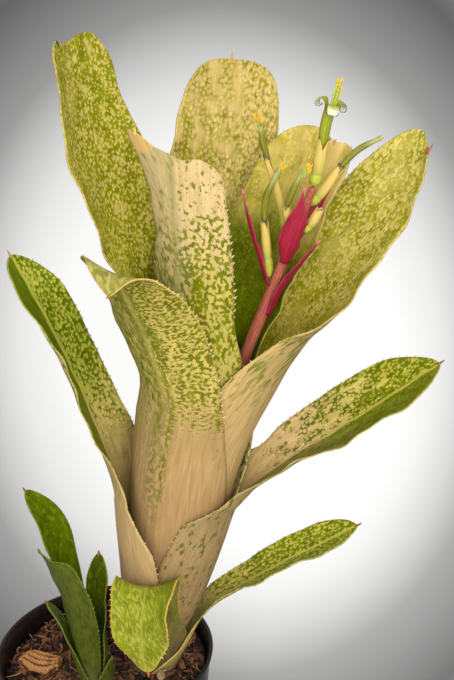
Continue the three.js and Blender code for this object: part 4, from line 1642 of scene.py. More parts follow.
def leaf_big_right() -> Leaf:
    """Broad leaf that reaches up to the right, seen on its inner face.

    Returns:
        The leaf.
    """
    shape = LeafShape(
        azimuth=18, layer=6, wraps=(150, 140, 128, 118, 110, 104, 98), tip=38,
        mouth=((34.2, 175, 31.2, 94, 0.2), (42, 200, 33.5, 82, 0.44)),
        blade=((51, 228, 0, 37, 58, 4, 0.6), (63, 260, 0, 36, 44, 12, 0.4),
               (77, 291, -2, 29, 34, 18, 0.1),
               (91, 321, -3, 23, 28, 18), (104, 347, -1, 17, 20, 14)),
        ruffle=((1.6, 58, 2.2), (0.7, 23, 0.4)), blunt=(2.4, 2.6), spine=5, spine_at=-0.5,
        end=((-1, -3, 0, 0), (-0.3, -2, 0, 0), (0.3, 3, 0, 0), (0.8, 6, 0, 0)))
    fine = Flecks(((-40, 0.25), (20, 0.3), (70, 0.38), (120, 0.42), (170, 0.4)), size=1.7,
                  stretch=1.7, turn=-10, patchy=0.95, kind=Fleck.DOT, soft=0.07, strength=0.9)
    cloud = Flecks(((-40, 0.1), (60, 0.16), (120, 0.2), (170, 0.4)), size=14, stretch=1.8,
                   patchy=0.2, soft=0.12, strength=0.4)
    inner = LeafFace(shade(150, 144, 8), shade(148, 146, 24), shade(212, 190, 92),
                     shade(214, 196, 114), (fine, cloud), turn_over=(0, 110))
    dashes = Flecks(((-60, 0.99), (-30, 0.95), (0, 0.78), (60, 0.6), (150, 0.55)), size=2.6,
                    stretch=3.0, turn=24, patchy=0.6)
    outer = LeafFace(shade(118, 124, 40), shade(116, 122, 40), shade(204, 172, 118),
                     shade(204, 182, 110), (dashes,), turn_over=(60, 120), plain=(-20, 30))
    return Leaf("leaf_big_right", shape,
                LeafFinish("Big right leaf", outer, inner, margin=shade(206, 178, 104),
                           margin_width=0.2, foot=shade(164, 138, 90), tip_length=2.5,
                           tip=shade(150, 96, 58)), MarginTeeth(start=190))


def leaf_tall_left() -> Leaf:
    """Tall leaf on the left, seen on its bright inner face.

    Returns:
        The leaf.
    """
    shape = LeafShape(
        azimuth=150, layer=7, wraps=(150, 134, 124, 114, 106, 98, 90, 82, 70), tip=28,
        blade=((47, 245, 0, 31, 48, -3), (62, 270, 2, 31, 40, -8), (79, 303, 4, 31, 34, -10),
               (95, 334, 3.5, 25.5, 28, -10), (110, 364, -3.5, 21.5, 20, -8)),
        ruffle=((1.5, 60, 1.4), (0.5, 25, 0.3)), blunt=(4.5, 6.0), spine=2.5, spine_at=0.6,
        end=((-1, 0, 0, 0), (-0.55, 4, 0, 0), (-0.2, 3, 0, 0), (0.2, -2, -1, 0),
             (0.65, -2, 0, 0), (0.9, 2, 2, 0)))
    fine = Flecks(((0, 0.42), (60, 0.36), (100, 0.3), (150, 0.2)), size=1.9, stretch=1.3,
                  kind=Fleck.DOT, patchy=0.8, soft=0.07)
    coarse = Flecks(((60, 0.02), (90, 0.05), (120, 0.09), (150, 0.13)), size=6.0, stretch=1.3,
                    kind=Fleck.DOT, patchy=0.8, soft=0.04, strength=0.75)
    streaks = Flecks(((60, 0.1), (105, 0.3), (150, 0.4)), size=2.6, stretch=9,
                     side=(-0.1, 0.5), patchy=0.4, soft=0.1, strength=0.4)
    inner = LeafFace(shade(138, 143, 0), shade(124, 126, 6), shade(214, 200, 98),
                     shade(204, 186, 102), (fine, coarse, streaks), turn_over=(20, 140))
    return Leaf("leaf_tall_left", shape,
                LeafFinish("Tall left leaf", hidden_face(fine), inner, margin=shade(206, 176, 92),
                           foot=shade(160, 140, 108), tip=shade(60, 44, 30)),
                MarginTeeth(start=220, length=1.0))


def leaf_tall_back() -> Leaf:
    """Tall leaf at the back, mostly peach cream with a green network.

    Returns:
        The leaf.
    """
    shape = LeafShape(
        azimuth=97, layer=8, wraps=(150, 134, 124, 114, 104, 96, 88, 78, 66), tip=28,
        blade=((40, 246, -1, 34, 48, 0), (53, 270, -2, 34, 40, 0), (66, 302, -4, 33, 34, 0),
               (75, 332, -5.5, 28.5, 28, 0), (80.5, 358, -4.5, 23.5, 20, 0)),
        ruffle=((1.4, 50, 0.1), (0.5, 22, 1.4)), blunt=(3.6, 3.6), spine=4.5)
    network = Flecks(((0, 0.26), (50, 0.31), (90, 0.35), (140, 0.4)), size=2.2, stretch=1.2,
                     kind=Fleck.DOT, patchy=0.6, soft=0.13)
    right = Flecks(((0, 0.1), (90, 0.2), (140, 0.3)), size=2.6, side=(0.3, -0.4),
                   kind=Fleck.DOT, soft=0.06)
    peach = Flecks(((100, 0.0), (118, 0.2), (150, 0.6)), size=14, stretch=1.2, patchy=0.2,
                   side=(-0.5, -0.1), soft=0.12, strength=0.8)
    inner = LeafFace(shade(118, 124, 2), shade(138, 134, 22), shade(208, 186, 102),
                     shade(216, 188, 124), (network, right, peach), turn_over=(10, 110))
    return Leaf("leaf_tall_back", shape,
                LeafFinish("Tall back leaf", hidden_face(network), inner,
                           margin=shade(206, 172, 88), margin_width=0.3, tip_length=1.5,
                           foot=shade(160, 140, 108), tip=shade(190, 140, 80)),
                MarginTeeth(start=220))


def leaf_centre_left() -> Leaf:
    """Centre leaf with its back to the viewer and a dry folded tip.

    Returns:
        The leaf.
    """
    shape = LeafShape(
        azimuth=-115, layer=9, wraps=(150, 134, 124, 114, 104, 94, 84, 74, 62), tip=17,
        blade=((28, 246, -4, 26, 52, 0), (25, 275, -10, 25, 46, 0), (23, 301, -17, 23, 40, 0),
               (21, 330, -24, 22, 30, 0)),
        ruffle=((0.9, 44, 1.1), (0.4, 18, 2.0)), blunt=(7, 3), spine=3, spine_at=-0.7,
        end=((-0.9, 19, -4, -13), (-0.7, 16, -4, -10), (-0.4, 6, -2, -2), (0, 2, 0, 0),
             (0.4, 3, 0, 0), (1, 0, 0, 0)))
    cover = ((-40, 0.92), (-12, 0.86), (4, 0.74), (18, 0.56), (34, 0.36), (58, 0.46),
             (74, 0.78), (88, 0.95))
    pale = Flecks(cover, size=2.2, stretch=1.2, turn=-30, patchy=0.75, side=(-0.4, -0.1),
                  soft=0.07)
    dashes = Flecks(cover, size=2.0, stretch=2.8, turn=-26, patchy=0.6, side=(-0.1, -0.4),
                    soft=0.09, strength=0.85)
    outer = LeafFace(shade(112, 118, 2), shade(116, 120, 20), shade(192, 176, 96),
                     shade(216, 187, 140), (pale, dashes), turn_over=(20, 74),
                     bloom=shade(168, 164, 118), bloom_left=0.4)
    inner = LeafFace(shade(100, 120, 44), shade(206, 176, 100), shade(214, 198, 140),
                     shade(226, 200, 140), (replace(pale, cover=((0, 0.4), (100, 0.8)), side=()),),
                     turn_over=(20, 60))
    return Leaf("leaf_centre_left", shape,
                LeafFinish("Centre leaf", outer, inner, margin=shade(190, 176, 104),
                           foot=shade(160, 140, 108), tip_length=12,
                           tip=shade(206, 170, 104), tooth=shade(226, 208, 150)),
                MarginTeeth(start=220, end=22, length=1.9, spacing=3.6))


def leaf_back_right() -> Leaf:
    """Tall leaf behind the flowers, deep green low and peach at its upper corner.

    Returns:
        The leaf.
    """
    shape = LeafShape(
        azimuth=49, layer=10, wraps=(150, 134, 122, 112, 102, 94, 86, 72, 62), tip=32,
        blade=((35, 243, 0, 31.5, 58, 0), (43, 264, -1, 32.5, 52, 0), (53, 296, -4, 30, 44, 0),
               (60.5, 338, -8.5, 25.5, 32, 0)),
        ruffle=((1.5, 48, 2.6), (0.6, 20, 0.7)), blunt=(4.5, 2.6), spine=2, spine_at=-0.3,
        end=((-0.85, 7, 2, -3), (-0.6, 3, 0, -1), (-0.3, -1, 0, 0), (0.1, 2, 0, 0),
             (1, 0, 0, 0)))
    small = Flecks(((0, 0.03), (50, 0.08), (70, 0.2), (90, 0.35), (120, 0.5)), size=1.8,
                   stretch=1.4, patchy=0.9, kind=Fleck.DOT, soft=0.08, strength=0.7)
    cloud = Flecks(((40, 0.0), (70, 0.4), (110, 0.7)), size=12, patchy=0.2, soft=0.22,
                   strength=0.6)
    corner = Flecks(((50, 0.0), (76, 0.97)), size=12, side=(-0.05, -0.5), patchy=0.2, soft=0.2)
    inner = LeafFace(shade(92, 106, 0), shade(184, 176, 58), shade(148, 150, 44),
                     shade(240, 208, 134), (small, cloud, corner), turn_over=(30, 92))
    return Leaf("leaf_back_right", shape,
                LeafFinish("Back right leaf", hidden_face(small), inner,
                           margin=shade(186, 166, 84), tip_length=1,
                           foot=shade(160, 140, 108), tip=shade(190, 140, 90)),
                MarginTeeth(start=220))


def pup_finish(name: str, light: Colour) -> LeafFinish:
    """Finish of a leaf of the offset: plain green with a grey bloom outside.

    Args:
        name: Name of the material.
        light: Colour of the outer face.

    Returns:
        The finish.
    """
    scurf = Flecks(((-40, 0.3), (80, 0.2)), size=1.6, stretch=3, soft=0.1, strength=0.25)
    outer = LeafFace(shade(66, 76, 12), light, shade(100, 108, 50), shade(108, 116, 56),
                     (scurf,), bloom=shade(108, 114, 66), bloom_left=0.16, bloom_right=0.16,
                     plain=(-200, -180))
    light = tuple(0.8 * c for c in light)
    glint = Flecks(((-40, 0.08), (80, 0.12)), size=2.4, stretch=2, soft=0.06, strength=0.5)
    inner = LeafFace(shade(62, 80, 1), light, shade(104, 120, 20), shade(120, 132, 30),
                     (glint,), plain=(-200, -180))
    return LeafFinish(name, outer, inner, margin=shade(132, 152, 66), margin_width=0.3,
                      foot=shade(126, 116, 84), foot_end=(8, 40),
                      tip=shade(120, 84, 44), tooth=shade(168, 172, 104))


PUP_TEETH = MarginTeeth(spacing=3.4, length=0.9, start=22, end=4)


def pup_leaves() -> list[Leaf]:
    """Leaves of the offset.

    Returns:
        The leaves, outermost first.
    """
    quiet = ((0.5, 26, 0.7),)
    forms = [
        ("pup_leaf_base", shade(70, 82, 10), LeafShape(
            azimuth=-35, layer=0, wraps=(140, 100), tip=14,
            blade=((12, 20, 0, 9, 42, 0), (15, 34, 0, 6, 30, 0)), ruffle=quiet, spine=2)),
        ("pup_leaf_low_left", shade(86, 98, 10), LeafShape(
            azimuth=180, layer=1, wraps=(140, 120, 70), tip=16,
            blade=((12.5, 42, 0, 8, 38, 0), (15.5, 56, 0, 7.5, 30, 0), (21, 72, 0, 4, 20, 0)),
            ruffle=quiet, spine=2)),
        ("pup_leaf_right", shade(84, 94, 16), LeafShape(
            azimuth=12, layer=2, wraps=(140, 106, 60), tip=20,
            blade=((10.4, 42, 0, 8, 44, 0), (9.5, 70, 0, 8, 36, 40), (14, 100, 0, 6, 24, 55)),
            ruffle=quiet, spine=2.5)),
        ("pup_leaf_front", shade(76, 86, 18), LeafShape(
            azimuth=-125, layer=3, wraps=(140, 108, 74), tip=12, keel=0.12,
            blade=((9.5, 44, 0, 12, 54, 0), (12, 76, 1, 12.5, 42, 0), (16, 109, -4, 10, 26, 0)),
            ruffle=quiet, spine=2, spine_at=-0.9, blunt=(7, 3),
            end=((-1, 4, 0, -2), (-0.6, 0, 0, 0), (0, -2, 0, 0), (1, -3, 0, 0)))),
        ("pup_leaf_tall", shade(88, 108, 1), LeafShape(
            azimuth=150, layer=4, wraps=(140, 100), tip=40,
            blade=((8, 44, -2, 9, 46, 0), (13, 84, -4, 11, 40, -4), (17, 118, -3, 12, 30, -6),
                   (26, 141, 1, 9, 20, -6)), ruffle=quiet, spine=3)),
    ]
    return [Leaf(name, shape, pup_finish(name.replace("_", " "), light), PUP_TEETH)
            for name, light, shape in forms]


@dataclass
class LeafWhorl:
    """The leaves and stem of one rosette.

    Attributes:
        whorl: Frame and tube of the rosette.
        leaves: Leaves, outermost first.
        slot: Slot of the leaves and the stem; not used.
        stem: Node of the stem.
        stem_path: Lower and upper end of the stem.
    """

    whorl: Whorl
    leaves: Sequence[Leaf]
    slot: str
    stem: str
    stem_path: tuple[float, float]

    def build(self) -> None:
        """Builds and dresses every leaf, then the stem."""
        place = self.whorl.matrix()
        for number, leaf in enumerate(self.leaves):
            surface = LeafSurface(leaf.shape, self.whorl, self.whorl.thickness)
            piece = mesh_object(leaf.name, surface.shell(), place)
            piece.data.materials.append(leaf.finish.material())
            piece = leaf.teeth.grow(piece, surface, place, leaf.finish.tooth_material(), number)
            piece.name = "grown_" + leaf.name
            place_piece(piece, [leaf.name])
        self._build_stem(place)

    def _build_stem(self, place: Matrix) -> None:
        """Builds the short stem that the leaves stand on.

        Args:
            place: Place of the whorl's frame, in millimetres.
        """
        low, high = self.stem_path
        radius = self.whorl.stem_radius
        path = [(0, 0, low), (0, 0, (low + high) / 2), (0, 0, high)]
        add_piece("grown_" + self.stem, tube(path, [0.8 * radius, radius, 0.8 * radius]), place,
                  self._stem_material(), [self.stem])

    def _stem_material(self) -> bpy.types.Material:
        """Pale fibrous stem.

        Returns:
            The finished material.
        """
        weave = Weave(self.stem + " tissue")
        fibre = weave.noise(weave.uv(), (14, 0.12, 1), 4)
        colour = weave.blend(fibre.ramp(0.3, 0.7), shade(120, 92, 58), shade(176, 154, 110))
        return weave.surface(Base_Color=colour, Roughness=0.6 + 0.2 * fibre,
                             Normal=weave.bump(fibre, 0.0006))


# Flowers

@dataclass(frozen=True)
class Strap:
    """A sepal or petal that follows a path at a distance.

    Attributes:
        azimuth: Side of the path that it stands on, in degrees.
        profile: Rows of place along the path, distance from it, and half width.
        thickness: Its thickness.
    """

    azimuth: float
    profile: Sequence[tuple[float, float, float]]
    thickness: float = 0.32

    rows = 26
    columns = 12
    least_radius = 0.8
    least_half = 0.15
    nudge = 0.01

    def shell(self, path: Sequence) -> Shell:
        """Skin of the strap along a path.

        Args:
            path: Points of the path.

        Returns:
            The closed skin.
        """
        points = np.array(path, float)
        form = spline(np.array(self.profile, float), np.linspace(0, 1, self.rows))
        place, away, half = form[:, 0], form[:, 1], np.maximum(form[:, 2], self.least_half)
        centre = spline(points, place)
        ahead = unit(spline(points, np.minimum(place, 1))
                     - spline(points, np.minimum(place, 1) - self.nudge))
        length = np.linalg.norm(np.diff(points, axis=0), axis=1).sum()
        centre = centre + ahead * (np.maximum(place - 1, 0) * length)[:, None]
        first = unit(np.cross(np.array([0.0, 1.0, 0.0]), ahead))
        second = np.cross(ahead, first)
        radius = np.maximum(away, self.least_radius)
        u = np.linspace(-1, 1, self.columns + 1)
        turn = math.radians(self.azimuth) + u[None] * (half / radius)[:, None]
        middle = math.radians(self.azimuth)
        out = (first[:, None] * np.cos(turn)[..., None]
               + second[:, None] * np.sin(turn)[..., None])
        axis = first * math.cos(middle) + second * math.sin(middle)
        outer = (centre + axis * (away - radius)[:, None])[:, None] + out * radius[:, None, None]
        inner = outer - out * self.thickness
        size = outer.shape[:2]
        travelled = np.linspace(0, 1, self.rows)[:, None]
        uv = np.stack([half[:, None] * u[None], np.broadcast_to(travelled * length, size)], -1)
        values = {
            "along": np.broadcast_to(travelled, size),
            "edge": half[:, None] * (1 - np.abs(u))[None],
        }
        return skin(outer, inner, uv, values)


@dataclass(frozen=True)
class Calyx:
    """Green ovary with three overlapping sepals.

    Attributes:
        path: Points of its middle line.
        radius: Radius of the ovary.
        turn: Side on which the first sepal stands, in degrees.
        reach: Place along the path where the sepals end.
        open_by: How far the sepals stand open, as a share of the radius.
    """

    path: Sequence
    radius: float
    turn: float = 30
    reach: float = 1.1
    open_by: float = 0.0

    ribs = 6
    ovary_end = 0.42

    def shell(self) -> Shell:
        """Skin of the ovary and its sepals.

        Returns:
            The closed skin.
        """
        points = np.array(self.path, float)
        lower = spline(points, np.linspace(0, self.ovary_end, 4))
        big = self.radius
        result = tube(lower, [0.6 * big, big, 1.04 * big, 0.82 * big], 24, 20)
        swell = 1 + 0.05 * np.cos(self.ribs * 2 * math.pi * result.uv[:, 0])
        axis = spline(lower, result.values["along"])
        result.points = axis + (result.points - axis) * swell[:, None]
        result.values["ovary"] = np.ones(len(result.points))
        spread = self.open_by
        for k in range(3):
            profile = ((0.3, 0.72 * big, 0.9 * big), (0.42, 0.94 * big, 1.25 * big),
                       (0.66, 0.98 * big, 1.3 * big),
                       (0.88, (0.86 + spread) * big, 0.95 * big),
                       (self.reach, (0.78 + 2.4 * spread) * big, 0.1))
            sepal = Strap(self.turn + 120 * k, profile).shell(self.path)
            result = result.joined(sepal)
        return result


@dataclass(frozen=True)
class Corolla:
    """Three petals rolled into a slender tube.

    Attributes:
        path: Points of its middle line.
        radius: Radius of the tube.
        turn: Side on which the first petal stands, in degrees.
        start: Place along the path where the petals start, inside the calyx.
        reach: Place along the path where they end.
        flare: How far their ends stand out, as a share of the radius.
        curled: Whether their ends curl back.
    """

    path: Sequence
    radius: float
    turn: float = 0
    start: float = -0.2
    reach: float = 1.06
    flare: float = 0.25
    curled: bool = False

    def shell(self) -> Shell:
        """Skin of the three petals.

        Returns:
            The closed skin.
        """
        result = None
        big = self.radius
        for k in range(3):
            if self.curled:
                profile = ((self.start, 0.6 * big, 0.9 * big), (0.3, 0.95 * big, 1.2 * big),
                           (0.7, big, 1.2 * big), (0.94, 1.15 * big, 0.8 * big),
                           (1.08, 1.8 * big, 1.0 * big), (1.02, 2.8 * big, 1.1 * big),
                           (0.88, 2.9 * big, 1.0 * big), (0.84, 2.1 * big, 0.6 * big),
                           (0.93, 1.8 * big, 0.2 * big))
            else:
                profile = ((self.start, 0.6 * big, 0.9 * big), (0.25, 0.95 * big, 1.25 * big),
                           (0.6, 0.95 * big, 1.2 * big), (0.88, 0.72 * big, 0.9 * big),
                           (self.reach, (0.5 + self.flare) * big, 0.3 * big))
            petal = Strap(self.turn + 120 * k, profile, 0.25).shell(self.path)
            result = petal if result is None else result.joined(petal)
        return result


@dataclass(frozen=True)
class Stamens:
    """Filaments with forked anthers, and a longer style.

    Attributes:
        foot: Lower end of the bundle.
        tip: Upper end of the bundle.
        count: Number of filaments.
        spread: How far they stand apart at the tip.
        anther: Length of an anther.
        style: How far the style goes past the tip, or 0 for none.
        girth: Radius of a filament.
    """

    foot: Sequence[float]
    tip: Sequence[float]
    count: int = 5
    spread: float = 1.5
    anther: float = 2.8
    style: float = 0.0
    girth: float = 0.3

    def shell(self) -> Shell:
        """Skin of every filament and anther.

        Returns:
            The closed skin.
        """
        foot = np.array(self.foot, float)
        tip = np.array(self.tip, float)
        axis = unit(tip - foot)
        side = unit(np.cross(axis, np.array([0.0, 1.0, 0.0])))
        other = np.cross(axis, side)
        result = None
        for k in range(self.count):
            turn = 2 * math.pi * (k + 0.3) / self.count
            away = side * math.cos(turn) + other * math.sin(turn)
            reach = 1 - 0.12 * (k % 3)
            end = foot + (tip - foot) * reach + away * self.spread
            middle = (foot + end) / 2 + away * 0.4 * self.spread
            filament = tube([foot + away * 0.3, middle, end],
                            [1.1 * self.girth, self.girth, 0.8 * self.girth], 6, 12)
            lean = unit(away * (0.7 if k % 2 else 0.25) + axis)
            anther = tube([end - lean * 0.3 * self.anther, end + away * 0.25,
                           end + lean * 0.7 * self.anther], [0.4, 0.75, 0.35], 8, 10)
            anther.values["pollen"] = np.ones(len(anther.points))
            pair = filament.joined(anther)
            result = pair if result is None else result.joined(pair)
        if self.style:
            end = tip + axis * self.style
            result = result.joined(tube([foot, (foot + end) / 2 + side * 0.3, end],
                                        [1.2 * self.girth, self.girth, 1.6 * self.girth],
                                        6, 14))
        return result


@dataclass(frozen=True)
class Flower:
    """One flower of the spike; a missing part is left out.

    Attributes:
        name: Start of the names of its nodes.
        calyx: Ovary and sepals.
        corolla: Petals.
        stamens: Stamens and style.
        stamens_node: Whether the part has a node for the stamens.
    """

    name: str
    calyx: Calyx
    corolla: Optional[Corolla] = None
    stamens: Optional[Stamens] = None
    stamens_node: bool = False


FLOWERS = (
    Flower("flower_left",
           Calyx(((33, 5, 287), (26, 6, 308), (15, 7, 331)), 2.4, 20),
           Corolla(((14.6, 7, 332), (10, 7, 343), (7.5, 7, 351)), 1.75, 80, flare=0.5),
           Stamens((9.5, 7, 344), (5.2, 7, 355.5), spread=1.3)),
    Flower("flower_low_left",
           Calyx(((25.8, -0.4, 268.5), (22, -1, 284), (18, -2, 300)), 2.6, 10),
           Corolla(((17.8, -2, 301), (16.5, -2, 315), (20, -2, 331)), 2.0, 40),
           Stamens((18.8, -2, 326), (21.6, -2, 334), count=3, spread=0.6, style=3.5)),
    Flower("flower_centre_left",
           Calyx(((32.5, -2.6, 297.6), (29.5, -4.5, 306), (27.5, -5, 312)), 2.5, 60),
           Corolla(((27.3, -5, 313), (29, -5, 322), (32, -5, 333)), 1.9, 100, flare=0.5),
           Stamens((31, -5, 329), (35.2, -5, 336.5), spread=1.3, style=1.5)),
    Flower("flower_open",
           Calyx(((40.1, 0, 324.6), (40.5, 0, 334), (40.5, 0, 350)), 3.3, 90, open_by=0.1),
           Corolla(((40.5, 0, 346), (40, 0, 360), (41, 0, 370)), 3.0, 30, curled=True),
           Stamens((41, 0, 365), (43, 0, 383), spread=1.4, style=2.5, girth=0.6), True),
    Flower("flower_right",
           Calyx(((40.5, 3.5, 312), (45.5, 4, 319), (52, 4, 334)), 2.8, 0),
           Corolla(((52.6, 4, 335), (60, 4, 346), (70, 4, 354)), 1.8, 30, flare=0.2)),
    Flower("flower_bud",
           Calyx(((38.5, -4.5, 300), (42, -6, 306), (45, -7, 315)), 2.7, 45, reach=1.04)),
)


@dataclass(frozen=True)
class FlowerFinish:
    """Finishes of the flowers and the stalk."""

    ovary: Colour = shade(160, 162, 44)
    sepal: Colour = shade(196, 170, 88)
    sepal_tip: Colour = shade(70, 58, 104)
    petal: Colour = shade(134, 132, 20)
    petal_dark: Colour = shade(78, 76, 10)
    petal_end: Colour = shade(152, 154, 84)
    open_petal: Colour = shade(156, 160, 30)
    open_petal_dark: Colour = shade(100, 108, 8)
    glass: Colour = shade(220, 222, 190)
    glass_rim: Colour = shade(84, 76, 108)
    pollen: Colour = shade(244, 178, 30)
    filament: Colour = shade(168, 176, 70)

    def calyx(self) -> bpy.types.Material:
        """Green ovary, peach sepals with dark violet tips.

        Returns:
            The finished material.
        """
        weave = Weave("Calyx")
        uv = weave.uv()
        along = weave.attribute("along")
        ovary = weave.attribute("ovary")
        grain = weave.noise(uv, (1.6, 0.25, 1), 4)
        bloom = weave.noise(weave.place(), (700, 700, 700), 4)
        place = along + 0.14 * (grain - 0.5)
        warm = weave.blend(place.ramp(0.1, 0.6), shade(156, 158, 66), self.sepal)
        colour = weave.blend(place.ramp(0.9, 0.98), warm, self.sepal_tip)
        green = weave.blend(bloom.ramp(0.4, 0.7), self.ovary, shade(168, 168, 84))
        colour = weave.blend(ovary, colour, green)
        return weave.surface(Base_Color=colour, Roughness=0.42 + 0.2 * bloom,
                             Normal=weave.bump(grain, 0.0004), Specular_IOR_Level=0.2)

    def petals(self, name: str, curled: bool) -> bpy.types.Material:
        """Striped olive petals; the curled ones end glassy with a violet rim.

        Args:
            name: Name of the material.
            curled: Whether the ends curl back.

        Returns:
            The finished material.
        """
        weave = Weave(name)
        uv = weave.uv()
        along = weave.attribute("along")
        vein = weave.noise(uv, (3.2, 0.08, 1), 3)
        dark, light, end = self.petal_dark, self.petal, self.petal_end
        if curled:
            dark, light, end = self.open_petal_dark, self.open_petal, self.glass
        olive = weave.blend(vein.ramp(0.38, 0.62), dark, light)
        colour = weave.blend((along + 0.1 * (vein - 0.5)).ramp(0.5, 0.78), olive, end)
        if curled:
            rim = weave.attribute("edge").ramp(1.0, 0.35) * along.ramp(0.6, 0.75)
            colour = weave.blend(rim, colour, self.glass_rim)
        return weave.surface(Base_Color=colour, Roughness=0.3 + 0.25 * vein,
                             Normal=weave.bump(vein, 0.0003))

    def anthers(self) -> bpy.types.Material:
        """Grainy orange pollen on pale filaments.

        Returns:
            The finished material.
        """
        weave = Weave("Anthers")
        pollen = weave.attribute("pollen")
        grain = weave.noise(weave.place(), (2600, 2600, 2600), 2)
        dust = weave.blend(grain.ramp(0.3, 0.6), shade(206, 132, 20), self.pollen)
        return weave.surface(Base_Color=weave.blend(pollen, self.filament, dust),
                             Roughness=0.5 + 0.3 * grain, Normal=weave.bump(grain, 0.0002))

    def stalk(self) -> bpy.types.Material:
        """Dusty rose stalk with a pale mealy coat, tan towards its foot.

        Returns:
            The finished material.
        """
        weave = Weave("Stalk")
        uv = weave.uv()
        along = weave.attribute("along")
        line = weave.noise(uv, (26, 0.05, 1), 3)
        meal = weave.noise(weave.place(), (520, 520, 260), 5, 0.7)
        rose = weave.blend(line.ramp(0.3, 0.7), shade(130, 48, 44), shade(176, 96, 66))
        tan = weave.blend(along.ramp(0.25, 0.6), shade(140, 84, 56), rose)
        colour = weave.blend(0.3 * meal.ramp(0.5, 0.72), tan, shade(192, 130, 104))
        return weave.surface(Base_Color=colour, Roughness=0.5 + 0.25 * meal,
                             Normal=weave.bump(line + 0.4 * meal, 0.0005))

    def bract(self, name: str, dark: float) -> bpy.types.Material:
        """Thin crimson bract with fine veins, a painted highlight along its margins and a pale tip.

        Args:
            name: Name of the material.
            dark: Share of the colour that it keeps; below 1 the bract is darkened as painted shade.

        Returns:
            The finished material.
        """
        weave = Weave(name)
        uv = weave.uv()
        along = weave.attribute("along")
        vein = weave.noise(uv, (2.2, 0.03, 1), 4)
        blotch = weave.noise(uv, (0.25, 0.08, 1), 3)
        deep = tuple(dark * c for c in shade(122, 4, 30))
        bright = tuple(dark * c for c in shade(172, 18, 54))
        colour = weave.blend(vein.ramp(0.35, 0.65), deep, bright)
        colour = weave.blend(0.5 * blotch.ramp(0.45, 0.7), colour, shade(118, 8, 38))
        # Lighter magenta along the margins is a painted highlight.
        rim = weave.attribute("edge").ramp(1.2, 0.2)
        colour = weave.blend(0.4 * rim, colour, shade(190, 44, 84))
        colour = weave.blend(along.ramp(0.95, 1.0), colour, shade(206, 96, 120))
        return weave.surface(Base_Color=colour, Roughness=0.42 + 0.2 * vein,
                             Normal=weave.bump(vein, 0.0005))


@dataclass(frozen=True)
class Bract:
    """One crimson bract on the stalk.

    Attributes:
        name: Node that it stands for.
        foot: Place of its foot in the whorl's frame.
        shape: Its form.
        dark: Share of the colour that it keeps; below 1 the bract is darkened as painted shade.
    """

    name: str
    foot: Sequence[float]
    shape: LeafShape
    dark: float = 1.0


SOFT_EDGE = ((0.6, 22, 0.5), (0.3, 9, 1.4))
BRACTS = (
    # The low bract takes a darker copy of the bract colour: painted shade.
    Bract("bract_low_right", (27, 0, 247), LeafShape(
        -40, ((4.5, 0, 0, 3, 56, 0), (9, 17, 0, 4.6, 50, 0), (17, 35, 0, 4.4, 44, 0),
              (25, 53, 0, 2.4, 30, 0)), 22, ruffle=SOFT_EDGE, blunt=(1.3, 1.3), spine=1),
          0.72),
    Bract("bract_left", (28.5, 0, 264), LeafShape(
        190, ((3.6, 0, 0, 3, 60, 0), (10, 14, 0, 4.8, 50, 0), (19, 34, 0, 4.4, 44, 0),
              (26, 54, 0, 2.4, 30, 0)), 22, ruffle=SOFT_EDGE, blunt=(1.3, 1.3), spine=1)),
    Bract("bract_centre", (32.5, 0, 279), LeafShape(
        -90, ((4.2, 0, 0, 3.6, 76, 0), (8, 12, 0, 7, 62, 0), (12, 29, 1, 6.8, 50, 0),
              (16, 49, 0.5, 1.8, 30, 0)), 27, ruffle=SOFT_EDGE, blunt=(1.2, 1.2), spine=1)),
    Bract("bract_back", (35, 0, 291), LeafShape(
        34, ((3.6, 0, 0, 3.4, 60, 0), (8, 9, 0, 5, 50, 0), (14, 19, 0, 4, 40, 0),
             (20, 30, 0, 2.2, 30, 0)), 16, ruffle=SOFT_EDGE, blunt=(1.3, 1.3), spine=1)),
)


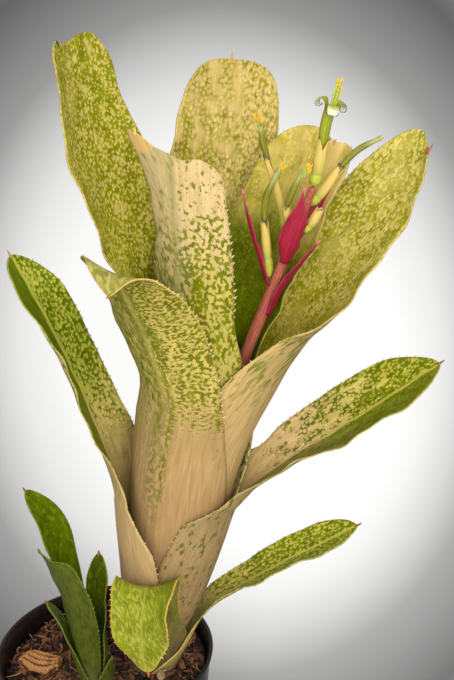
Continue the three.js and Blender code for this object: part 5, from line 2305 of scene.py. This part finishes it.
@dataclass
class FlowerSpike:
    """Stalk, bracts and flowers in the heart of the rosette.

    Attributes:
        whorl: Frame of the rosette.
        finish: Finishes of the flowers and the stalk.
        path: Points of the stalk's middle line.
        radii: Radii, evenly spread along it.
        bract_thickness: Thickness of a bract.
        joints: Places along the path where the stalk is thickened.
    """

    whorl: Whorl
    finish: FlowerFinish = FlowerFinish()
    path: Sequence = ((1, 0, 33), (6, -1, 90), (12, -2, 150), (20, -1, 210), (27, 0, 250),
                      (33, 0, 282), (38, 0, 312), (40, 0, 324))
    radii: Sequence[float] = (3.3, 3.3, 3.3, 3.3, 3.3, 2.8, 2.3, 1.8)
    bract_thickness: float = 0.5
    joints: Sequence[float] = (0.83, 0.88, 0.93, 0.97)

    joint_swell = 0.16
    joint_length = 0.006

    def build(self) -> None:
        """Builds the stalk, the bracts and the flowers."""
        place = self.whorl.matrix()
        self._build_stalk(place)
        for bract in BRACTS:
            shift = place @ Matrix.Translation(bract.foot)
            surface = LeafSurface(bract.shape, None, self.bract_thickness, 16, 60)
            add_piece("grown_" + bract.name, surface.shell(), shift,
                      self.finish.bract(bract.name, bract.dark), [bract.name])
        for flower in FLOWERS:
            self._build_flower(flower, place)

    def _build_stalk(self, place: Matrix) -> None:
        """Builds the stalk, thickened at its upper joints.

        Args:
            place: Place of the whorl's frame, in millimetres.
        """
        shell = tube(self.path, self.radii, 24, 160)
        along = shell.values["along"]
        swell = sum(self.joint_swell * np.exp(-((along - joint) / self.joint_length) ** 2)
                    for joint in self.joints)
        axis = spline(np.array(self.path, float), along)
        shell.points = axis + (shell.points - axis) * (1 + swell)[:, None]
        add_piece("grown_flower_stalk", shell, place, self.finish.stalk(),
                  ["flower_stalk"])

    def _build_flower(self, flower: Flower, place: Matrix) -> None:
        """Builds one flower's calyx, petals and stamens.

        Args:
            flower: Flower to build.
            place: Place of the whorl's frame, in millimetres.
        """
        name = flower.name
        add_piece(f"grown_{name}_calyx", flower.calyx.shell(), place, self.finish.calyx(),
                  [f"{name}_calyx"])
        if flower.corolla:
            add_piece(f"grown_{name}_corolla", flower.corolla.shell(), place,
                      self.finish.petals(f"{name} petals", flower.corolla.curled),
                      [f"{name}_corolla"])
        if flower.stamens:
            nodes = [f"{name}_stamens"] if flower.stamens_node else []
            add_piece(f"grown_{name}_stamens", flower.stamens.shell(), place,
                      self.finish.anthers(), nodes)


# Pot and mix

@dataclass
class NurseryPot:
    """Thin black plastic pot with a raised lip and drain holes.

    Attributes:
        height: Height of the pot.
        rim_radius: Outer radius at the lip.
        base_radius: Outer radius at the base.
        wall: Thickness of the wall.
        floor: Thickness of the floor.
        lip_height: Height of the lip.
        lip_step: How far the lip stands out from the wall.
        holes: Number of drain holes.
        hole_radius: Radius of a hole.
        hole_circle: Radius of the circle that the holes lie on.
        sides: Points of a ring.
    """

    height: float = 118
    rim_radius: float = 65
    base_radius: float = 46
    wall: float = 1.8
    floor: float = 2.6
    lip_height: float = 5
    lip_step: float = 0.9
    holes: int = 6
    hole_radius: float = 5
    hole_circle: float = 33
    sides: int = 160

    def radius(self, height: float) -> float:
        """Outer radius of the tapered wall at a height."""
        top = self.rim_radius - self.lip_step
        return self.base_radius + (top - self.base_radius) * height / self.height

    def outline(self) -> list[tuple[float, float]]:
        """Radii and heights of the section, outside first.

        Returns:
            Points of the section.
        """
        low = self.height - self.lip_height
        step = self.lip_step
        points = [(0, 0), (self.base_radius - 1.2, 0), (self.base_radius - 0.3, 0.35),
                  (self.radius(1.2), 1.2)]
        points += [(self.radius(z), z) for z in np.linspace(4, low - 0.6, 26)]
        points += [(self.radius(low) + 0.1, low), (self.radius(low) + step, low + step),
                   (self.rim_radius, self.height - step), (self.rim_radius - 0.25, self.height - 0.2),
                   (self.rim_radius - step, self.height), (self.rim_radius - 2 * step, self.height),
                   (self.rim_radius - 2.2 * step, self.height - 0.3)]
        points += [(self.radius(z) - self.wall, z)
                   for z in np.linspace(low, self.floor + 1.4, 26)]
        points += [(self.radius(self.floor) - self.wall - 0.6, self.floor), (0, self.floor)]
        return points

    def build(self) -> None:
        """Builds the pot, cuts its drain holes and dresses it."""
        points = []
        outline = self.outline()[1:-1]
        turn = np.linspace(0, 2 * math.pi, self.sides, endpoint=False)
        for radius, z in outline:
            points += [(radius * math.cos(a), radius * math.sin(a), z) for a in turn]
        shell = Shell(np.array(points, float), rod_faces(len(outline), self.sides),
                      np.zeros((len(points), 2)))
        pot = mesh_object("turned_pot", shell)
        self._cut_holes(pot)
        for polygon in pot.data.polygons:
            polygon.use_smooth = abs(polygon.normal.z) < 0.97
        pot.data.materials.append(self._material())
        place_piece(pot, ["nursery_pot"])

    def _cut_holes(self, pot: bpy.types.Object) -> None:
        """Cuts the drain holes through the floor.

        Args:
            pot: Pot to cut.
        """
        for k in range(self.holes):
            angle = 2 * math.pi * (k + 0.5) / self.holes
            middle = (self.hole_circle * math.cos(angle), self.hole_circle * math.sin(angle))
            path = [(*middle, -4), (*middle, 1), (*middle, 8)]
            cutter = mesh_object("cutter", tube(path, [self.hole_radius] * 2, 32, 6))
            modifier = pot.modifiers.new("hole", "BOOLEAN")
            modifier.operation = "DIFFERENCE"
            modifier.object = cutter
            graph = bpy.context.evaluated_depsgraph_get()
            cut = bpy.data.meshes.new_from_object(pot.evaluated_get(graph))
            pot.modifiers.remove(modifier)
            pot.data = cut
            bpy.data.objects.remove(cutter)

    def _material(self) -> bpy.types.Material:
        """Satin black dusty plastic, with scuffs and a painted highlight at the lip and painted light
        inside.

        Returns:
            The finished material.
        """
        weave = Weave("Nursery pot plastic")
        place = weave.place()
        x, y, z = (weave.axis(place, name) for name in "XYZ")
        top, rim = self.height * MM, self.rim_radius * MM
        fine = weave.noise(place, (900, 900, 900), 2)
        cloud = weave.noise(place, (46, 46, 70), 5)
        rings = weave.noise(place, (6, 6, 620), 3)
        radius = (x * x + y * y).power(0.5)
        lip = z.ramp(top - 5.5 * MM, top - 3.5 * MM)
        dust = cloud.ramp(0.45, 0.72)
        colour = weave.blend(dust * 0.2, shade(5, 4, 4), shade(22, 18, 17))
        # The lip is lighter: partly scuffs, partly a painted highlight along the rim.
        lip_scuffs_and_highlight = lip * (0.1 + 0.3 * dust)
        colour = weave.blend(lip_scuffs_and_highlight, colour, shade(62, 50, 44))
        # A lighter brown-grey band on the inner wall near the top is painted light.
        inside = radius.ramp(rim - 1.2 * MM, rim - 2.2 * MM) * z.ramp(top - 18 * MM, top - MM)
        colour = weave.blend(inside * 0.12, colour, shade(58, 44, 36))
        scratch = weave.cells(weave.stretch(place, (180, 180, 900)), "DISTANCE_TO_EDGE")
        colour = weave.blend(0.15 * scratch.ramp(0.03, 0.0), colour, shade(96, 90, 86))
        rough = 0.26 + 0.26 * dust + 0.12 * (rings - 0.5)
        return weave.surface(Base_Color=colour, Roughness=rough,
                             Normal=weave.bump(rings * 0.6 + fine * 0.3, 0.0003, 0.6),
                             Specular_IOR_Level=0.2)


class Grain(Enum):
    """Kinds of grains in the potting mix."""

    CHIP = "chip"
    FIBRE = "fibre"
    CRUMB = "crumb"
    PERLITE = "perlite"


@dataclass(frozen=True)
class Scatter:
    """How one kind of grain lies on the mix.

    Attributes:
        grain: Kind of grain.
        density: Grains to a square metre.
        size: Least and greatest scale.
        seed: Seed of its places and turns.
        tilt: Most that a grain stands up, in degrees.
        low: Colour of the dark grains.
        high: Colour of the pale grains.
        rarity: Share of grains that are dark.
    """

    grain: Grain
    density: float
    size: tuple[float, float]
    seed: int
    tilt: float
    low: Colour
    high: Colour
    rarity: float = 0.6

    def material(self) -> bpy.types.Material:
        """Colour that changes from grain to grain, with fibres along each.

        Returns:
            The finished material.
        """
        weave = Weave("Mix " + self.grain.value)
        tint = weave.attribute("tint")
        place = weave.place()
        fibre = weave.noise(place, (1500, 500, 900), 4, 0.65)
        patch = weave.noise(place, (260, 260, 260), 3)
        share = (tint + 0.35 * (patch - 0.5)).ramp(self.rarity - 0.25, self.rarity + 0.3)
        colour = weave.blend(share, self.low, self.high)
        dark = weave.blend(fibre.ramp(0.35, 0.65), (0.45, 0.42, 0.4), (1.12, 1.1, 1.05))
        colour = weave.times(colour, dark)
        return weave.surface(Base_Color=colour, Roughness=0.75 + 0.15 * fibre,
                             Normal=weave.bump(fibre, 0.0006, 0.8), Specular_IOR_Level=0.25)


SCATTERS = (
    Scatter(Grain.CRUMB, 400000, (0.7, 1.8), 3, 90, shade(22, 13, 9), shade(70, 45, 29), 0.68),
    Scatter(Grain.CHIP, 130000, (0.6, 1.5), 5, 34, shade(24, 14, 10), shade(122, 78, 48), 0.76),
    Scatter(Grain.FIBRE, 34000, (0.6, 1.4), 8, 22, shade(40, 24, 15), shade(152, 106, 66), 0.6),
    Scatter(Grain.PERLITE, 2600, (0.6, 1.3), 11, 90, shade(196, 190, 176),
            shade(236, 232, 220), 0.4),
)


@dataclass
class PottingMix:
    """Shredded bark mix with chips, fibres and perlite on its surface.

    Attributes:
        level: Mean height of the surface.
        bump: Height of its mounds.
        slope: How far it rises towards the back right rim.
        rim: Radius of the pot's rim.
        radius: Radius of the surface.
        floor_radius: Radius of the underside.
        floor: Height of the underside.
        rings: Rings of points on the surface.
        sides: Points of a ring.
        scatters: Grains that lie on it.
    """

    level: float = 106
    bump: float = 1.1
    slope: float = 2
    rim: float = 65
    radius: float = 59.6
    floor_radius: float = 44.2
    floor: float = 2.95
    rings: int = 70
    sides: int = 240
    scatters: Sequence[Scatter] = SCATTERS

    patch_rings = 12
    patch_sides = 48
    patch_margin = 2.5
    shapes = 6
    shape_seed = 17

    def height(self, x: np.ndarray, y: np.ndarray) -> np.ndarray:
        """Height of the surface, as in the part.

        Args:
            x: Places to the right.
            y: Places to the back.

        Returns:
            Heights there.
        """
        mounds = (np.sin(x / 9 + 1.2) * np.cos(y / 11) + 0.6 * np.sin((x + y) / 6.5)
                  + 0.4 * np.cos((x - 2 * y) / 8))
        return self.level + self.bump * mounds + self.slope * (x + y) / self.rim

    def rough(self, x: np.ndarray, y: np.ndarray) -> np.ndarray:
        """Small lumps on the surface.

        Args:
            x: Places to the right.
            y: Places to the back.

        Returns:
            Heights of the lumps there.
        """
        return (0.5 * np.sin(x * 1.1 + 0.7 * np.sin(y * 0.8)) * np.cos(y * 1.3)
                + 0.35 * np.sin(2.3 * x - 1.1 * y) * np.sin(1.9 * y + 0.8 * x))

    def build(self) -> None:
        """Builds the mix and what lies on it."""
        add_piece("bark_mix", self._body(), Matrix.Identity(4), self._bed_material(),
                  ["potting_mix"])
        for scatter in self.scatters:
            self._strew(scatter)

    def _body(self) -> Shell:
        """Closed body of the mix with a lumpy surface.

        Returns:
            The closed skin.
        """
        points = []
        turn = np.linspace(0, 2 * math.pi, self.sides, endpoint=False)
        for i in range(1, self.rings + 1):
            radius = self.radius * i / self.rings
            x, y = radius * np.cos(turn), radius * np.sin(turn)
            points += list(zip(x, y, self.height(x, y) + self.rough(x, y)))
        points += [(self.floor_radius * math.cos(a), self.floor_radius * math.sin(a), self.floor)
                   for a in turn]
        points += [(0.0, 0.0, float(self.height(0, 0))), (0.0, 0.0, self.floor)]
        faces = ring_faces(self.rings + 1, self.sides, flip=True)
        start, middle = self.rings * self.sides, len(points) - 2
        for j in range(self.sides):
            k = (j + 1) % self.sides
            faces += [(middle, j, k), (start + j, middle + 1, start + k)]
        array = np.array(points, float)
        return Shell(array, faces, array[:, :2])

    def _bed_material(self) -> bpy.types.Material:
        """Dark moist mix between the grains.

        Returns:
            The finished material.
        """
        weave = Weave("Mix bed")
        place = weave.place()
        grit = weave.cells(weave.stretch(place, (420, 420, 420)))
        shred = weave.noise(place, (800, 240, 500), 5, 0.65, turn=25)
        colour = weave.blend(shred.ramp(0.35, 0.65), shade(12, 8, 6), shade(46, 29, 19))
        colour = weave.blend(0.6 * grit.ramp(0.5, 0.9), colour, shade(12, 8, 6))
        return weave.surface(Base_Color=colour, Roughness=0.8 + 0.1 * shred,
                             Normal=weave.bump(grit + shred, 0.0012),
                             Specular_IOR_Level=0.2)

    def _patch(self) -> bpy.types.Object:
        """Surface that grains are strewn on.

        Returns:
            The surface as an object.
        """
        points = []
        rings, sides = self.patch_rings, self.patch_sides
        turn = np.linspace(0, 2 * math.pi, sides, endpoint=False)
        for i in range(1, rings + 1):
            radius = (self.radius - self.patch_margin) * i / rings
            x, y = radius * np.cos(turn), radius * np.sin(turn)
            points += list(zip(x, y, self.height(x, y) + 0.3))
        faces = [tuple(range(sides)), *ring_faces(rings, sides, flip=True)]
        array = np.array(points, float)
        return mesh_object("strewn_patch", Shell(array, faces, array[:, :2]))

    def _grain_meshes(self, grain: Grain) -> bpy.types.Collection:
        """A few shapes of one kind of grain, in a collection of their own.

        Args:
            grain: Kind of grain.

        Returns:
            The collection.
        """
        draw = np.random.default_rng(self.shape_seed + len(grain.value))
        group = bpy.data.collections.new(grain.value + " shapes")
        maker = {Grain.CHIP: self._chip, Grain.FIBRE: self._fibre,
                 Grain.CRUMB: self._crumb, Grain.PERLITE: self._perlite}[grain]
        for number in range(self.shapes):
            shape = mesh_object(f"{grain.value}_shape_{number}", maker(draw))
            bpy.context.scene.collection.objects.unlink(shape)
            group.objects.link(shape)
        return group

    def _chip(self, draw: np.random.Generator) -> Shell:
        """Flat splintered chip of bark.

        Args:
            draw: Seeded source of chance.

        Returns:
            The chip.
        """
        length, width = draw.uniform(4.5, 8), draw.uniform(1.6, 3.4)
        path = [(-length / 2, 0, 0), (0, draw.uniform(-0.4, 0.4), draw.uniform(0, 0.8)),
                (length / 2, draw.uniform(-0.6, 0.6), 0)]
        chip = tube(path, [width / 2, width * 0.62, width * 0.5], 7, 6, 0.4)
        chip.points += draw.uniform(-0.32, 0.32, chip.points.shape)
        return chip

    def _fibre(self, draw: np.random.Generator) -> Shell:
        """Thin curved fibre.

        Args:
            draw: Seeded source of chance.

        Returns:
            The fibre.
        """
        length = draw.uniform(9, 18)
        bend = draw.uniform(-3.5, 3.5, 2)
        path = [(-length / 2, 0, 0), (-length / 6, bend[0], 0.7), (length / 6, bend[1], 1),
                (length / 2, 0, 0.2)]
        return tube(path, [0.2, 0.42, 0.36, 0.12], 5, 12)

    def _crumb(self, draw: np.random.Generator) -> Shell:
        """Small angular crumb.

        Args:
            draw: Seeded source of chance.

        Returns:
            The crumb.
        """
        path = [(-0.9, 0, 0), (0, 0, 0), (0.9, 0, 0)]
        crumb = tube(path, [0.5, 0.95, 0.5], 6, 4)
        crumb.points += draw.uniform(-0.3, 0.3, crumb.points.shape)
        return crumb

    def _perlite(self, draw: np.random.Generator) -> Shell:
        """Puffy white bead.

        Args:
            draw: Seeded source of chance.

        Returns:
            The bead.
        """
        path = [(-1.3, 0, 0), (0, 0, 0), (1.3, 0, 0)]
        bead = tube(path, [1.0, 1.5, 1.0], 10, 9)
        bead.points += draw.uniform(-0.2, 0.2, bead.points.shape)
        return bead

    def _tree(self) -> bpy.types.NodeTree:
        """Tree that strews a collection's shapes on a surface.

        Returns:
            The tree, built once.
        """
        found = bpy.data.node_groups.get("Strewn grains")
        if found:
            return found
        build = TreeBuilder("Strewn grains")
        shapes = build.input("Shapes", "Collection")
        density = build.input("Density", "Float")
        smallest = build.input("Least size", "Float")
        largest = build.input("Greatest size", "Float")
        tilt = build.input("Tilt", "Float")
        seed = build.input("Seed", "Int")
        material = build.input("Grain material", "Material")
        spread = build.node("GeometryNodeDistributePointsOnFaces", {}, {
            "Mesh": build.entry.outputs["Geometry"], "Density": density, "Seed": seed})
        info = build.node("GeometryNodeCollectionInfo", {}, {
            "Collection": shapes, "Separate Children": True, "Reset Children": True})
        lean = build.node("ShaderNodeMath", {"operation": "MULTIPLY"}, {0: tilt, 1: -1.0})
        low = build.node("ShaderNodeCombineXYZ", {}, {"X": lean, "Y": lean, "Z": 0.0})
        high = build.node("ShaderNodeCombineXYZ", {}, {"X": tilt, "Y": tilt, "Z": FULL_TURN})
        turn = build.node("FunctionNodeRandomValue", {"data_type": "FLOAT_VECTOR"}, {
            0: low, 1: high, "Seed": seed})
        size = build.node("FunctionNodeRandomValue", {"data_type": "FLOAT"}, {
            2: smallest, 3: largest, "Seed": seed})
        set_down = build.node("GeometryNodeInstanceOnPoints", {}, {
            "Points": spread, "Instance": info, "Pick Instance": True,
            "Rotation": turn.outputs[0], "Scale": size.outputs[1]})
        tint = build.node("FunctionNodeRandomValue", {"data_type": "FLOAT"}, {
            2: 0.0, 3: 1.0, "Seed": seed})
        marked = build.node("GeometryNodeStoreNamedAttribute", {
            "data_type": "FLOAT", "domain": "INSTANCE"}, {
            "Geometry": set_down, "Name": "tint", "Value": tint.outputs[1]})
        real = build.node("GeometryNodeRealizeInstances", {}, {"Geometry": marked})
        dressed = build.node("GeometryNodeSetMaterial", {}, {
            "Geometry": real, "Material": material})
        return build.end(dressed)

    def _strew(self, scatter: Scatter) -> None:
        """Strews one kind of grain and makes it a piece.

        Args:
            scatter: How the grain lies.
        """
        shapes = self._grain_meshes(scatter.grain)
        piece = run_tree(self._patch(), self._tree(), {
            "Shapes": shapes, "Density": float(scatter.density), "Least size": scatter.size[0],
            "Greatest size": scatter.size[1], "Tilt": math.radians(scatter.tilt),
            "Seed": scatter.seed, "Grain material": scatter.material()},
            "mix_" + scatter.grain.value)
        for shape in list(shapes.objects):
            bpy.data.objects.remove(shape)
        bpy.data.collections.remove(shapes)
        place_piece(piece)


@dataclass(frozen=True)
class BarkPiece:
    """A single large piece of bark or twig on the mix.

    Attributes:
        name: Node that it stands for.
        place: Middle of the piece.
        turn: Turn about the vertical, in degrees.
        size: Length, width and thickness.
        grooves: Flutes across its width.
        low: Colour in the grooves, darkened there as painted shade.
        high: Colour of the ridges.
    """

    name: str
    place: Sequence[float]
    turn: float
    size: Sequence[float]
    grooves: int
    low: Colour
    high: Colour

    outline = ((-0.5, -0.3), (-0.38, -0.5), (0.34, -0.44), (0.5, -0.16), (0.44, 0.36),
               (0.12, 0.5), (-0.42, 0.4))
    rows = 44
    columns = 30

    def _half_width(self, share: np.ndarray) -> tuple[np.ndarray, np.ndarray]:
        """Lower and upper edge of the outline at places along its length.

        Args:
            share: Places along it, from -0.5 to 0.5.

        Returns:
            Lower and upper edges, as shares of the width.
        """
        xs, ys = np.array(self.outline).T
        low_x, low_y = xs[:4], ys[:4]
        order = np.argsort(xs[3:])
        high_x, high_y = xs[3:][order], ys[3:][order]
        high_x = np.concatenate([[-0.5], high_x])
        high_y = np.concatenate([[-0.28], high_y])
        return np.interp(share, low_x, low_y), np.interp(share, high_x, high_y)

    def build(self) -> None:
        """Builds the piece as a fluted slab with broken ends."""
        length, width, thickness = self.size
        share = np.linspace(-0.5, 0.5, self.rows)
        low, high = self._half_width(share)
        t = np.linspace(0, 1, self.columns)
        y = low[:, None] + (high - low)[:, None] * t[None]
        x = np.broadcast_to(share[:, None], y.shape)
        wander = 0.12 * np.sin(5 * x + 1.3)
        flute = np.abs(np.sin(math.pi * self.grooves * (t[None] + wander)))
        round_off = np.clip(1 - np.abs(2 * t - 1) ** 5, 0, 1)[None]
        ends = np.clip(1 - np.abs(2 * x) ** 14, 0, 1)
        chip = 0.05 * np.sin(31 * y + 9 * x) + 0.04 * np.sin(57 * x + 13 * y)
        top = (0.26 + 0.24 * flute + chip) * round_off * (0.5 + 0.5 * ends)
        splinter = 1 + 0.05 * np.sin(40 * y) + 0.03 * np.sin(93 * y + 2)
        points = np.stack([x * length * splinter, y * width, top * thickness], -1)
        under = np.stack([x * length * splinter, y * width,
                          np.full_like(y, -0.5 * thickness)], -1)
        values = {"flute": np.broadcast_to(flute, y.shape)}
        shell = skin(points, under, points[..., :2], values)
        place = (Matrix.Translation(self.place)
                 @ Matrix.Rotation(math.radians(self.turn), 4, "Z"))
        piece = mesh_object("split_" + self.name, shell, place)
        self._face_outwards(piece)
        piece.data.materials.append(self._material())
        place_piece(piece, [self.name])

    def _face_outwards(self, piece: bpy.types.Object) -> None:
        """Turns the faces outwards if the grid was laid the other way round."""
        mesh = piece.data
        top = max(mesh.polygons, key=lambda polygon: polygon.center.z)
        if top.normal.z < 0:
            mesh.flip_normals()

    def _material(self) -> bpy.types.Material:
        """Fibrous bark, darker in the grooves as painted shade.

        Returns:
            The finished material.
        """
        weave = Weave(self.name + " bark")
        uv = weave.uv()
        fibre = weave.noise(uv, (0.12, 2.4, 1), 5, 0.65)
        pit = weave.noise(uv, (0.5, 0.9, 1), 4)
        # Colour follows the flutes' height, so the grooves come out darker: painted shade.
        ridge = weave.attribute("flute") + 0.6 * (fibre - 0.5)
        colour = weave.blend(ridge.ramp(0.1, 0.8), self.low, self.high)
        colour = weave.blend(0.55 * pit.ramp(0.55, 0.75), colour, shade(74, 52, 36))
        return weave.surface(Base_Color=colour, Roughness=0.72 + 0.15 * fibre,
                             Normal=weave.bump(fibre + pit * 0.5, 0.0012),
                             Specular_IOR_Level=0.25)


BARK = (
    BarkPiece("bark_chunk", (-39, 6, 108), -25, (25, 17, 8), 4, shade(62, 34, 18),
              shade(176, 120, 70)),
    BarkPiece("bark_stick", (50.5, 13.5, 108), 68, (19, 4.5, 3.5), 1, shade(84, 44, 30),
              shade(146, 86, 58)),
)


@dataclass
class DryScrap:
    """Curled scrap of a dry leaf at the foot of the rosette.

    Attributes:
        foot: Place of its foot.
        shape: Its form.
    """

    foot: Sequence[float] = (34, -19.5, 107.3)
    shape: LeafShape = LeafShape(
        -60, ((0, 0, 0, 3.4, 80, 0), (0.8, 4, 0, 4, 86, 0), (2.6, 8, 0, 3.6, 80, 0),
              (5, 11, 0, 2.6, 60, 0)), 4, ruffle=((0.3, 6, 0.4),), spine=0)

    def build(self) -> None:
        """Builds and dresses the scrap."""
        surface = LeafSurface(self.shape, None, 0.5, 16, 200)
        add_piece("curled_dry_scrap", surface.shell(), Matrix.Translation(self.foot),
                  self._material(), ["dry_scrap"])

    def _material(self) -> bpy.types.Material:
        """Dry streaked leaf.

        Returns:
            The finished material.
        """
        weave = Weave("Dry leaf scrap")
        fibre = weave.noise(weave.uv(), (3, 0.2, 1), 4)
        colour = weave.blend(fibre.ramp(0.3, 0.7), shade(130, 96, 62), shade(206, 176, 130))
        return weave.surface(Base_Color=colour, Roughness=0.6 + 0.2 * fibre,
                             Normal=weave.bump(fibre, 0.0006))


# Studio

@dataclass(frozen=True)
class Studio:
    """Camera, floor and soft lights.

    Attributes:
        eye: Place of the camera in metres.
        pitch: How far it looks down, in degrees.
        roll: Its roll in degrees.
        lens: Focal length.
        sensor: Length of the sensor.
        floor_size: Half the floor's side in metres.
        glow_across: How quickly the floor's painted pool of light ends to the side.
        glow_up: How quickly it ends upwards and downwards.
        glow: Places from the middle of the painted pool of light outwards, and the grey there.
        lights: Name, place, aim, size and power of each light.
        sky: Colour of the sky.
        sky_strength: Strength of the sky.
    """

    eye: Sequence[float] = (0.0868, -0.9021, 0.8202)
    pitch: float = 28.87
    roll: float = -4.25
    lens: float = 100.0

    sensor = 36.0
    floor_size = 6.0
    glow_across = 8.32
    glow_up = 6.75
    glow = ((0.0, 0.95), (0.36, 0.93), (0.46, 0.78), (0.53, 0.58), (0.6, 0.34), (0.76, 0.14),
            (1.0, 0.42))
    lights = (("Front", (0.15, -1.45, 1.15), (0.05, 0, 0.25), 0.9, 22),
              ("Key", (0.9, -1.4, 1.5), (0.05, 0, 0.25), 1.3, 22),
              ("Fill", (-1.1, -1.4, 0.9), (0.05, 0, 0.2), 1.3, 12),
              ("Top", (0.2, 0.9, 2.2), (0.05, 0.1, 0.2), 1.8, 12))
    sky = (1.0, 0.99, 0.98, 1)
    sky_strength = 0.55

    def build(self) -> None:
        """Sets up the camera, the floor and the lights."""
        self._camera()
        self._floor()
        self._lights()

    def _camera(self) -> None:
        """Camera at the photograph's viewing angle."""
        p = math.radians(self.pitch)
        r = math.radians(self.roll)
        side = Vector((1, 0, 0))
        ahead = Vector((0, math.cos(p), -math.sin(p)))
        up = side.cross(ahead)
        right = side * math.cos(r) + up * math.sin(r)
        top = up * math.cos(r) - side * math.sin(r)
        data = bpy.data.cameras.new("Camera")
        data.lens = self.lens
        data.sensor_width = self.sensor
        data.clip_end = 50
        camera = add_object("Camera", data)
        turn = Matrix((right, top, -ahead)).transposed().to_4x4()
        camera.matrix_world = Matrix.Translation(self.eye) @ turn
        bpy.context.scene.camera = camera

    def _floor(self) -> None:
        """Pale floor with a painted pool of light behind the plant and painted shade further out."""
        mesh = bpy.data.meshes.new("floor")
        size = self.floor_size
        mesh.from_pydata([(-size, -size, 0), (size, -size, 0), (size, size, 0),
                          (-size, size, 0)], [], [(0, 1, 2, 3)])
        floor = add_object("floor", mesh)
        weave = Weave("Floor")
        cos, sin = math.cos(math.radians(self.pitch)), math.sin(math.radians(self.pitch))
        across = weave.axis(weave.place(), "X") - self.eye[0]
        away = weave.axis(weave.place(), "Y") - self.eye[1]
        depth = (cos * away + sin * self.eye[2]).most(0.5)
        left = self.glow_across * across / depth
        up = self.glow_up * (sin * away - cos * self.eye[2]) / depth
        radius = (left * left + up * up).power(0.5)
        grain = weave.noise(weave.place(), (400, 400, 400), 3)
        stops = [(place, (grey,) * 3) for place, grey in self.glow]
        # The floor's colour is a painted pool of light behind the plant, greying to painted shade
        # further out.
        painted_light_pool = weave.add("ShaderNodeValToRGB", {"stops": stops}, [radius / 2])
        mesh.materials.append(weave.surface(Base_Color=painted_light_pool, Roughness=0.8 + 0.05 * grain,
                                            Specular_IOR_Level=0.1))

    def _lights(self) -> None:
        """Large soft lights and an even sky."""
        for light in self.lights:
            self._softbox(*light)
        world = bpy.data.worlds.new("Studio")
        world.use_nodes = True
        sky = world.node_tree.nodes["Background"]
        sky.inputs["Color"].default_value = self.sky
        sky.inputs["Strength"].default_value = self.sky_strength
        bpy.context.scene.world = world
        bpy.context.scene.view_settings.view_transform = "Standard"

    def _softbox(self, name: str, place: Sequence[float], aim: Sequence[float], size: float,
                 power: float) -> None:
        """Square area light aimed at a point.

        Args:
            name: Name of the light.
            place: Where it stands, in metres.
            aim: Point that it faces.
            size: Length of its side.
            power: Power in watts.
        """
        data = bpy.data.lights.new(name, "AREA")
        data.size = size
        data.energy = power
        light = add_object(name, data)
        direction = Vector(aim) - Vector(place)
        light.rotation_euler = direction.to_track_quat("-Z", "Y").to_euler()
        light.location = place


def main() -> None:
    """Builds every sub-assembly in order."""
    logging.basicConfig(level=logging.INFO, format="%(name)s %(message)s")
    rosette_leaves = [leaf_low_right(), leaf_front_drooping(), leaf_left(), leaf_right(),
                      leaf_back(), leaf_front_left(), leaf_big_right(), leaf_tall_left(),
                      leaf_tall_back(), leaf_centre_left(), leaf_back_right()]
    NurseryPot().build()
    PottingMix().build()
    for bark in BARK:
        bark.build()
    DryScrap().build()
    LeafWhorl(ROSETTE, rosette_leaves, "leaf", "stem", stem_path=(-34, 32)).build()
    LeafWhorl(PUP, pup_leaves(), "pup", "pup_stem", stem_path=(-16, 14)).build()
    FlowerSpike(ROSETTE).build()
    Studio().build()


if __name__ == "__main__":
    main()
